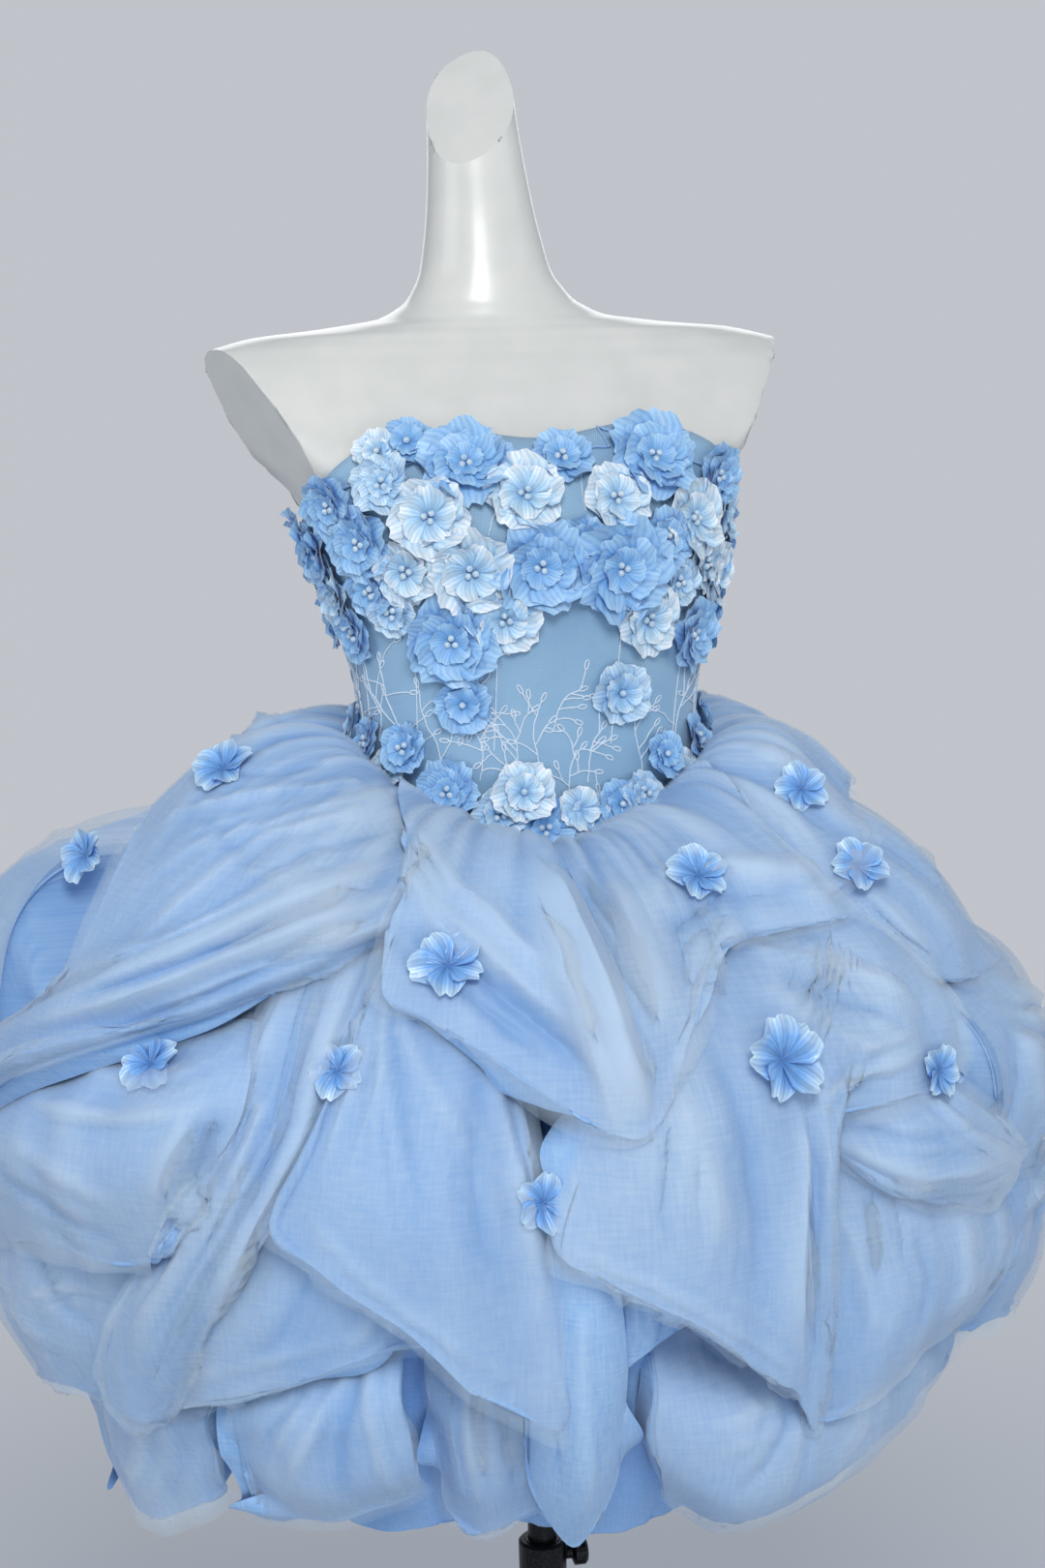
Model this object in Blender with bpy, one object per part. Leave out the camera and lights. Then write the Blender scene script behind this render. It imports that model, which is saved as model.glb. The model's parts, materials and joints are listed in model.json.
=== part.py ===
"""A homecoming dress on a limbless dress form that stands on a height-adjustable base.

Metres, +Z up, centre front of the dress facing -Y. The middle of the base's
underside is the origin. The dress is a strapless bodice closed by a zip at the
centre back, with a pointed waist, over an underskirt that carries picked-up
swags, puffs and ruffles and a scatter of sewn-on flowers.
"""
import math
from collections import namedtuple

import bmesh
import bpy
from mathutils import Matrix, Vector
from mathutils.bvhtree import BVHTree

MM = 0.001
SEAM_GAP = 0.3 * MM           # between two pieces that meet

# ------------------------------------------------------------------ materials
Finish = namedtuple("Finish", "red green blue roughness metallic")
FINISHES = {
    "organza": Finish(0.40, 0.57, 0.81, 0.60, 0.0),
    "underskirt": Finish(0.24, 0.42, 0.74, 0.70, 0.0),
    "lace": Finish(0.38, 0.55, 0.75, 0.65, 0.0),
    "petal": Finish(0.50, 0.68, 0.88, 0.50, 0.0),
    "form_gloss": Finish(0.80, 0.82, 0.79, 0.22, 0.0),
    "black_steel": Finish(0.015, 0.015, 0.017, 0.35, 0.6),
    "zip_tape": Finish(0.33, 0.50, 0.74, 0.70, 0.0),
    "zip_metal": Finish(0.70, 0.72, 0.75, 0.30, 1.0),
}


def add_material(name, finish):
    """A material of the piece's own, with the colour and gloss of its finish."""
    material = bpy.data.materials.new(name)
    material.use_nodes = True
    shader = material.node_tree.nodes["Principled BSDF"]
    shader.inputs["Base Color"].default_value = (finish.red, finish.green, finish.blue, 1)
    shader.inputs["Roughness"].default_value = finish.roughness
    shader.inputs["Metallic"].default_value = finish.metallic
    return material


def add_piece(name, bm, finish, carrier=None, wall=0.0):
    """Turn a bmesh into a named object, as a wall of the given thickness if any."""
    mesh = bpy.data.meshes.new(name)
    bm.to_mesh(mesh)
    bm.free()
    piece = bpy.data.objects.new(name, mesh)
    bpy.context.scene.collection.objects.link(piece)
    mesh.materials.append(add_material(name, FINISHES[finish]))
    piece.parent = carrier
    if wall:
        solidify = piece.modifiers.new("wall", "SOLIDIFY")
        solidify.thickness = wall
        solidify.offset = -1
    return piece


def add_empty(name, place, carrier=None):
    """A bare axis that the pieces of one body hang on."""
    empty = bpy.data.objects.new(name, None)
    empty.location = place
    empty.parent = carrier
    bpy.context.scene.collection.objects.link(empty)
    return empty


# --------------------------------------------------------------- smooth tables
def glide(rows, share):
    """The row a share (0 to 1) of the way along, on a smooth curve through all rows."""
    spans = len(rows) - 1
    at = min(max(share, 0.0), 1.0) * spans
    first = min(int(at), spans - 1)
    t = at - first
    here, there = rows[first], rows[first + 1]
    before = rows[first - 1] if first else [2 * a - b for a, b in zip(here, there)]
    after = rows[first + 2] if first + 2 <= spans else [2 * b - a for a, b in zip(here, there)]
    return [
        0.5 * (2 * b + (c - a) * t + (2 * a - 5 * b + 4 * c - d) * t * t
               + (3 * b - a - 3 * c + d) * t ** 3)
        for a, b, c, d in zip(before, here, there, after)
    ]


def ease(share):
    """0 to 1 with a soft start and end."""
    share = min(max(share, 0.0), 1.0)
    return share * share * (3 - 2 * share)


def read_off(rows, at):
    """The second column's value where the first is at, straight between the rows."""
    for (low, low_value), (high, high_value) in zip(rows, rows[1:]):
        if at <= high:
            return low_value + (high_value - low_value) * (at - low) / (high - low)
    return rows[-1][1]


# ------------------------------------------------------------------- dress form
# Level sections of the form, in millimetres: its height, half its width, how far
# its front and back stand from the section's middle, and where that middle is.
Section = namedtuple("Section", "height half_width front back middle_x middle_y")
FORM_SECTIONS = [
    Section(785, 120, 80, 86, 0, 0),
    Section(790, 139, 95, 101, 0, 0),
    Section(803, 149, 103, 110, 0, 0),
    Section(880, 156, 110, 118, 0, -2),
    Section(960, 144, 100, 108, 0, -10),
    Section(1020, 124, 91, 90, 0, -19),
    Section(1060, 118, 89, 81, 0, -24),
    Section(1110, 121, 94, 82, 0, -22),
    Section(1160, 132, 107, 88, 0, -14),
    Section(1215, 145, 121, 95, -2, -6),
    Section(1250, 156, 118, 97, -6, -1),
    Section(1285, 197, 105, 94, -3, 10),
    Section(1315, 221, 82, 84, -3, 13),
    Section(1338, 226, 68, 70, -5, 19),
    Section(1351, 207, 61, 63, -7, 23),
    Section(1359, 174, 57, 58, -8, 25),
    Section(1364, 124, 54, 55, -9, 26),
    Section(1370, 82, 51, 52, -9, 26),
    Section(1382, 60, 48, 49, -10, 27),
    Section(1402, 47, 44, 45, -12, 28),
    Section(1440, 39, 39, 41, -14, 29),
    Section(1490, 33, 35, 37, -17, 30),
    Section(1540, 30, 32, 34, -20, 31),
    Section(1585, 28, 30, 32, -22, 32),
]
FORM_ROUND = 44                       # points round each section
FORM_RINGS_EACH = 2                   # rings from one section to the next
FORM_SQUARENESS = 2.3                 # 2 is an ellipse, more is squarer
Cut = namedtuple("Cut", "middle facing lowest")         # lowest: nothing is cut below it
FORM_CUTS = {
    "right arm": Cut(Vector((0.174, 0.020, 1.292)), Vector((0.90, -0.12, -0.42)), 1.250),
    "left arm": Cut(Vector((-0.186, 0.020, 1.292)), Vector((-0.89, -0.24, -0.38)), 1.240),
    "neck": Cut(Vector((-0.020, 0.031, 1.520)), Vector((-0.36, -0.68, 0.64)), 1.440),
}
FORM_BASE = FORM_SECTIONS[0].height * MM


def round_corner(share, squareness):
    """Sine or cosine pushed outward, to give an ellipse fuller corners."""
    return math.copysign(abs(share) ** (2 / squareness), share)


def section_place(section, turn, out=0.0):
    """Point on a section, turned from centre front, moved out in metres."""
    middle = Vector((section.middle_x, section.middle_y, section.height)) * MM
    across = round_corner(math.sin(math.radians(turn)), FORM_SQUARENESS)
    ahead = round_corner(math.cos(math.radians(turn)), FORM_SQUARENESS)
    depth = section.front if ahead > 0 else section.back
    offset = Vector((across * (section.half_width * MM + out), -ahead * (depth * MM + out), 0))
    return middle + offset


def section_at(height):
    """The form's section at a height in millimetres, smooth through the table's."""
    heights = [row.height for row in FORM_SECTIONS]
    first = max(i for i, level in enumerate(heights[:-1]) if level <= height)
    share = (height - heights[first]) / (heights[first + 1] - heights[first])
    section = Section(*glide(FORM_SECTIONS, (first + share) / (len(heights) - 1)))
    return section._replace(height=height)


def form_place(turn, height, out=0.0):
    """Point on the form's surface at a height in metres, moved out in metres."""
    return section_place(section_at(height / MM), turn, out)


def loft(rings, closed_round=True):
    """Skin a bmesh over rings of points, from the lowest ring up, facing out."""
    bm = bmesh.new()
    loops = [[bm.verts.new(place) for place in ring] for ring in rings]
    count = len(rings[0])
    for low, high in zip(loops, loops[1:]):
        for k in range(count if closed_round else count - 1):
            after = (k + 1) % count
            bm.faces.new((low[k], low[after], high[after], high[k]))
    return bm, loops


def cut_flat(bm, cut):
    """Saw what stands above a height along a plane, and close the cut with one face."""
    bmesh.ops.bisect_plane(
        bm, geom=bm.verts[:] + bm.edges[:] + bm.faces[:], dist=0.01 * MM,
        plane_co=(0, 0, cut.lowest), plane_no=(0, 0, 1))
    faces = [face for face in bm.faces if face.calc_center_median().z > cut.lowest]
    edges = {edge for face in faces for edge in face.edges}
    verts = {vert for face in faces for vert in face.verts}
    bmesh.ops.bisect_plane(
        bm, geom=[*verts, *edges, *faces], dist=0.01 * MM,
        plane_co=cut.middle, plane_no=cut.facing, clear_outer=True)
    bmesh.ops.contextual_create(bm, geom=[edge for edge in bm.edges if edge.is_boundary])


def build_form(carrier):
    """The smooth torso: lofted sections, with flat cuts at the arms and the neck."""
    turns = [360 * k / FORM_ROUND for k in range(FORM_ROUND)]
    heights = [FORM_SECTIONS[0].height]
    for low, high in zip(FORM_SECTIONS, FORM_SECTIONS[1:]):
        step = (high.height - low.height) / FORM_RINGS_EACH
        heights += [low.height + step * (k + 1) for k in range(FORM_RINGS_EACH)]
    sections = [section_at(height) for height in heights]
    bm, loops = loft([[section_place(row, turn) for turn in turns] for row in sections])
    bm.faces.new(reversed(loops[0]))
    bm.faces.new(loops[-1])
    for cut in FORM_CUTS.values():
        cut_flat(bm, cut)
    bmesh.ops.recalc_face_normals(bm, faces=bm.faces)
    return add_piece("dress_form", bm, "form_gloss", carrier)


# ------------------------------------------------------------------------ stand
STAND_SIDES = 32
BASE_RADIUS, BASE_HEIGHT = 0.170, 0.012
MAST_RADIUS, MAST_FOOT = 0.011, 0.150
TUBE_WALL, TUBE_TOP = 0.0025, 0.4350
COLLAR_FOOT, COLLAR_TOP, COLLAR_RADIUS = 0.392, 0.4345, 0.0185
KNOB_HEIGHT, KNOB_RADIUS, KNOB_REACH = 0.420, 0.011, 0.016
FLANGE_RADIUS, FLANGE_HEIGHT = 0.045, 0.005
FLARE_RADIUS, FLARE_HEIGHT = 0.034, 0.030    # the foot that holds the tube on the base


def turned(name, profile, finish, carrier=None, sides=STAND_SIDES):
    """A part turned on a lathe: a closed profile of (radius, height) about Z."""
    bm = bmesh.new()
    points = [bm.verts.new((radius, 0, height)) for radius, height in profile]
    edges = [bm.edges.new((a, b)) for a, b in zip(points, points[1:] + points[:1])
             if a.co.x > 0 or b.co.x > 0]
    bmesh.ops.spin(bm, geom=points + edges, cent=(0, 0, 0), axis=(0, 0, 1),
                   angle=math.tau, steps=sides, use_merge=True)
    bmesh.ops.remove_doubles(bm, verts=bm.verts, dist=0.01 * MM)
    bmesh.ops.recalc_face_normals(bm, faces=bm.faces)
    return add_piece(name, bm, finish, carrier)


def build_stand(carriage):
    """Round base, outer tube, clamping collar and knob, and the mast that slides."""
    rim = 2 * MM
    turned("base_plate", [
        (0, 0), (BASE_RADIUS - rim, 0), (BASE_RADIUS, rim), (BASE_RADIUS, BASE_HEIGHT - 2 * rim),
        (BASE_RADIUS - 3 * rim, BASE_HEIGHT - rim), (FLARE_RADIUS, BASE_HEIGHT), (0, BASE_HEIGHT),
    ], "black_steel")
    bore = MAST_RADIUS + SEAM_GAP
    tube = bore + TUBE_WALL
    foot = BASE_HEIGHT + SEAM_GAP
    turned("outer_tube", [
        (bore, foot), (FLARE_RADIUS, foot), (FLARE_RADIUS, foot + rim),
        (tube + rim, foot + FLARE_HEIGHT), (tube, foot + FLARE_HEIGHT + rim),
        (tube, TUBE_TOP), (bore, TUBE_TOP),
    ], "black_steel")
    ring = tube + SEAM_GAP
    turned("clamp_collar", [
        (ring, COLLAR_FOOT), (COLLAR_RADIUS - rim, COLLAR_FOOT), (COLLAR_RADIUS, COLLAR_FOOT + rim),
        (COLLAR_RADIUS, COLLAR_TOP - rim), (COLLAR_RADIUS - rim, COLLAR_TOP), (ring, COLLAR_TOP),
    ], "black_steel")
    start = COLLAR_RADIUS + SEAM_GAP
    neck = 0.5 * KNOB_RADIUS
    knob = turned("clamp_knob", [
        (0, start), (neck, start), (neck, start + 2 * rim), (KNOB_RADIUS, start + 3 * rim),
        (KNOB_RADIUS, start + KNOB_REACH - rim), (KNOB_RADIUS - rim, start + KNOB_REACH),
        (0, start + KNOB_REACH),
    ], "black_steel", sides=20)
    knob.rotation_euler.y = math.radians(90)
    knob.location.z = KNOB_HEIGHT
    top = FORM_BASE - SEAM_GAP
    turned("mast", [
        (0, MAST_FOOT), (MAST_RADIUS, MAST_FOOT), (MAST_RADIUS, top - FLANGE_HEIGHT),
        (FLANGE_RADIUS, top - FLANGE_HEIGHT), (FLANGE_RADIUS, top), (0, top),
    ], "black_steel", carriage)


# ----------------------------------------------------------------------- bodice
BODICE_WALL = 1.5 * MM
WAIST_EASE, NECK_EASE = 1.3 * MM, 2.6 * MM    # air between the form and the bodice
BODICE_ROWS = 11
# The edges of the bodice, by degrees round from centre front and height in metres.
NECKLINE = [(0, 1.287), (16, 1.297), (27, 1.290), (38, 1.279), (51, 1.265), (68, 1.248),
            (90, 1.229), (180, 1.226)]
WAIST_SEAM = [(0, 0.998), (40, 1.036), (78, 1.058), (180, 1.058)]
SIDE_GAP = 2 * SEAM_GAP               # the walls lean together inside a side seam
ZIP_HALF_WIDTH = 7 * MM
Panel = namedtuple("Panel", "name start end columns")
BODICE_PANELS = [
    Panel("bodice_front", -84, 84, 18),
    Panel("bodice_back_right", 84, 180, 9),
    Panel("bodice_back_left", -180, -84, 9),
]


def bodice_place(turn, share, out=0.0):
    """Point of the bodice's outer face, a share of the way from waist to neckline."""
    low = read_off(WAIST_SEAM, abs(turn)) + SEAM_GAP
    high = read_off(NECKLINE, abs(turn))
    air = WAIST_EASE + (NECK_EASE - WAIST_EASE) * share
    return form_place(turn, low + (high - low) * share, air + BODICE_WALL + out)


def seam_turn(turn, share, gap):
    """The turn moved by a gap in metres along the bodice, towards 0 if it is positive."""
    place = bodice_place(turn, share)
    girth = math.hypot(place.x, place.y)
    return turn - math.copysign(1, turn) * math.degrees(gap / girth)


def build_bodice(carriage):
    """Front and two backs; the backs stop short of centre back to leave the zip."""
    pieces = []
    for panel in BODICE_PANELS:
        rings = []
        for row in range(BODICE_ROWS + 1):
            share = row / BODICE_ROWS
            start, end = panel.start, panel.end
            if abs(start) == 180:
                start = seam_turn(-180, share, ZIP_HALF_WIDTH + SEAM_GAP)
            if abs(end) == 180:
                end = seam_turn(180, share, ZIP_HALF_WIDTH + SEAM_GAP)
            if start == BODICE_PANELS[0].end:
                start = seam_turn(start, share, -SIDE_GAP)
            if end == BODICE_PANELS[0].start:
                end = seam_turn(end, share, -SIDE_GAP)
            step = (end - start) / panel.columns
            rings.append([bodice_place(start + k * step, share) for k in range(panel.columns + 1)])
        bm, _ = loft(rings, closed_round=False)
        pieces.append(add_piece(panel.name, bm, "lace", carriage, BODICE_WALL))
    return pieces[0]


# -------------------------------------------------------------------------- zip
ZIP_ROWS = 10
SLIDER_SHARE = 0.955                  # how far up the zip the slider stands
SLIDER = Vector((8, 3, 10)) * MM      # width, thickness, length
ARCH = Vector((2, 1.2, 8)) * MM       # width, thickness of its bar, length
ARCH_ROOM = 2 * MM                    # height under the arch
TAB = Vector((6.4, 1.0, 25)) * MM
TAB_BAR = 1.2 * MM                    # the tab's cross bar, under the arch
TAB_WINDOW = Vector((3.6, 4.0, 5.2)) * MM


def add_box(bm, low, high):
    """A box between two corners, added to a bmesh."""
    low, high = Vector(low), Vector(high)
    place = Matrix.Translation((low + high) / 2) @ Matrix.Diagonal((*(high - low), 1))
    bmesh.ops.create_cube(bm, size=1, matrix=place)


def add_helper(name, low, high, carrier):
    """A hidden box that another piece's Boolean takes."""
    bm = bmesh.new()
    add_box(bm, low, high)
    helper = add_piece(name, bm, "zip_metal", carrier)
    helper.hide_render = True
    helper.display_type = "WIRE"
    return helper


def add_boolean(piece, other, operation):
    """Join to a piece, or cut from it, the shape of another object."""
    boolean = piece.modifiers.new(other.name, "BOOLEAN")
    boolean.object = other
    boolean.operation = operation


def build_zip(carriage):
    """Tape, slider and pull tab at the centre back, the tab on its own hinge."""
    rings = []
    for row in range(ZIP_ROWS + 1):
        share = row / ZIP_ROWS
        edge = seam_turn(180, share, ZIP_HALF_WIDTH)
        rings.append([bodice_place(turn, share) for turn in (edge, 180, -edge)])
    bm, _ = loft(rings, closed_round=False)
    add_piece("zip_tape", bm, "zip_tape", carriage, BODICE_WALL)

    seat = bodice_place(180, SLIDER_SHARE)
    above = bodice_place(180, SLIDER_SHARE + 0.02)
    lean = math.atan2(above.y - seat.y, above.z - seat.z)
    outward = Vector((0, math.cos(lean), -math.sin(lean)))
    frame = add_empty("zip_seat", seat + outward * 2 * SEAM_GAP, carriage)
    frame.rotation_euler.x = -lean

    half, reach = SLIDER / 2, ARCH.z / 2
    top = SLIDER.y + ARCH_ROOM
    bm = bmesh.new()
    add_box(bm, (-half.x, 0, -half.z), (half.x, SLIDER.y, half.z))
    slider = add_piece("zip_slider", bm, "zip_metal", frame)
    arch = add_helper("slider_arch", (-ARCH.x / 2, half.y, -reach),
                      (ARCH.x / 2, top + ARCH.y, reach), frame)
    room = add_helper("slider_room", (-ARCH.x, SLIDER.y, ARCH.y - reach),
                      (ARCH.x, top, reach - ARCH.y), frame)
    add_boolean(slider, arch, "UNION")
    add_boolean(slider, room, "DIFFERENCE")

    hinge = add_empty("zip_hinge", (0, SLIDER.y + ARCH_ROOM / 2, 0), frame)
    hinge.rotation_euler.x = lean         # so that the tab hangs plumb
    bm = bmesh.new()
    add_box(bm, (-TAB.x / 2, -TAB.y / 2, -TAB.z), (TAB.x / 2, TAB.y / 2, TAB_BAR / 2))
    tab = add_piece("zip_pull_tab", bm, "zip_metal", hinge)
    low = -TAB_BAR / 2 - TAB_WINDOW.z
    window = add_helper("tab_window", (-TAB_WINDOW.x / 2, -TAB_WINDOW.y / 2, low),
                        (TAB_WINDOW.x / 2, TAB_WINDOW.y / 2, -TAB_BAR / 2), hinge)
    add_boolean(tab, window, "DIFFERENCE")


# ------------------------------------------------------------------------ skirt
# The skirt's plain shape, by percent down from the waist seam: radius and height in
# millimetres at the sides and back, and at the front, where the waist dips.
Level = namedtuple("Level", "drop side_radius side_height front_radius front_height")
SKIRT_LEVELS = [
    Level(0.0, 122, 1058, 118, 998),
    Level(12.5, 165, 1066, 160, 1000),
    Level(25.0, 222, 1046, 215, 978),
    Level(37.5, 282, 998, 268, 935),
    Level(50.0, 330, 925, 312, 870),
    Level(62.5, 356, 840, 336, 790),
    Level(75.0, 358, 745, 336, 705),
    Level(87.5, 336, 662, 312, 630),
    Level(100.0, 296, 600, 276, 572),
]
FRONT_SPREAD = 75                     # degrees either side over which the front dips
WAIST_DEPTH, SKIRT_DEPTH = 0.76, 0.90         # depth as a share of width
WAIST_SHIFT = -0.026                  # the waist stands forward of the hem
WAIST_RUN, SEAM_RUN = 40.0, 25.0      # percent down over which the waist eases out
SEAM_EASE = 1.0 * MM                  # the skirt's top edge stands out past the bodice


def level_at(turn, drop):
    """Radius and height of the plain skirt, in metres."""
    turn = abs((turn + 180) % 360 - 180)
    front = 0.5 + 0.5 * math.cos(math.pi * min(turn / FRONT_SPREAD, 1))
    level = Level(*glide(SKIRT_LEVELS, drop / 100))
    radius = level.side_radius + (level.front_radius - level.side_radius) * front
    height = level.side_height + (level.front_height - level.side_height) * front
    return Vector((radius, height)) * MM


def skirt_place(turn, drop, lift=0.0):
    """Point of the skirt: degrees round from centre front, percent down, and how
    many millimetres out from the plain shape. Past 100 percent it runs straight on.
    """
    step = 1.0
    place = level_at(turn, drop)
    along = (level_at(turn, min(drop + step, 100)) - level_at(turn, min(drop, 100) - step))
    along.normalize()
    place += along * max(drop - 100, 0) * 7.5 * MM
    place += Vector((-along.y, along.x)) * lift * MM
    eased = ease(drop / WAIST_RUN)
    depth = WAIST_DEPTH + (SKIRT_DEPTH - WAIST_DEPTH) * eased
    sine, cosine = math.sin(math.radians(turn)), math.cos(math.radians(turn))
    middle = WAIST_SHIFT * (1 - eased)
    spot = Vector((place.x * sine, middle - place.x * cosine * depth, place.y))
    if drop < SEAM_RUN:
        top = level_at(turn, 0)
        plain = Vector((top.x * sine, WAIST_SHIFT - top.x * cosine * WAIST_DEPTH, top.y))
        low = read_off(WAIST_SEAM, abs((turn + 180) % 360 - 180))
        seam = form_place(turn, low, WAIST_EASE + BODICE_WALL + SEAM_EASE)
        spot += (seam - plain) * (1 - ease(drop / SEAM_RUN))
    return spot


CLOTH_WALL = 1.2 * MM
UNDERSKIRT_WALL = 1.5 * MM
UNDERSKIRT_SINK = [(0, 0), (30, 46), (60, 40), (100, 14)]    # percent down, mm inside
UNDERSKIRT_PLEATS, PLEAT_POINTS = 10, 4
UNDERSKIRT_ROWS = 7
PLEAT_DEPTH = 6
UNDERSKIRT_HEM = 103.0                # percent down


def build_underskirt(carriage):
    """One closed tube from the waist seam to the hem, pleated more towards the hem."""
    rings = []
    count = UNDERSKIRT_PLEATS * PLEAT_POINTS
    for row in range(UNDERSKIRT_ROWS, -1, -1):
        share = row / UNDERSKIRT_ROWS
        drop = UNDERSKIRT_HEM * share
        ring = []
        for k in range(count):
            pleat = PLEAT_DEPTH * share * math.cos(math.tau * k / PLEAT_POINTS)
            lift = pleat - read_off(UNDERSKIRT_SINK, drop)
            ring.append(skirt_place(360 * k / count, drop, lift))
        rings.append(ring)
    for place in rings[-1]:
        place.z -= SEAM_GAP
    bm, _ = loft(rings)
    return add_piece("underskirt", bm, "underskirt", carriage, UNDERSKIRT_WALL)


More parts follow.
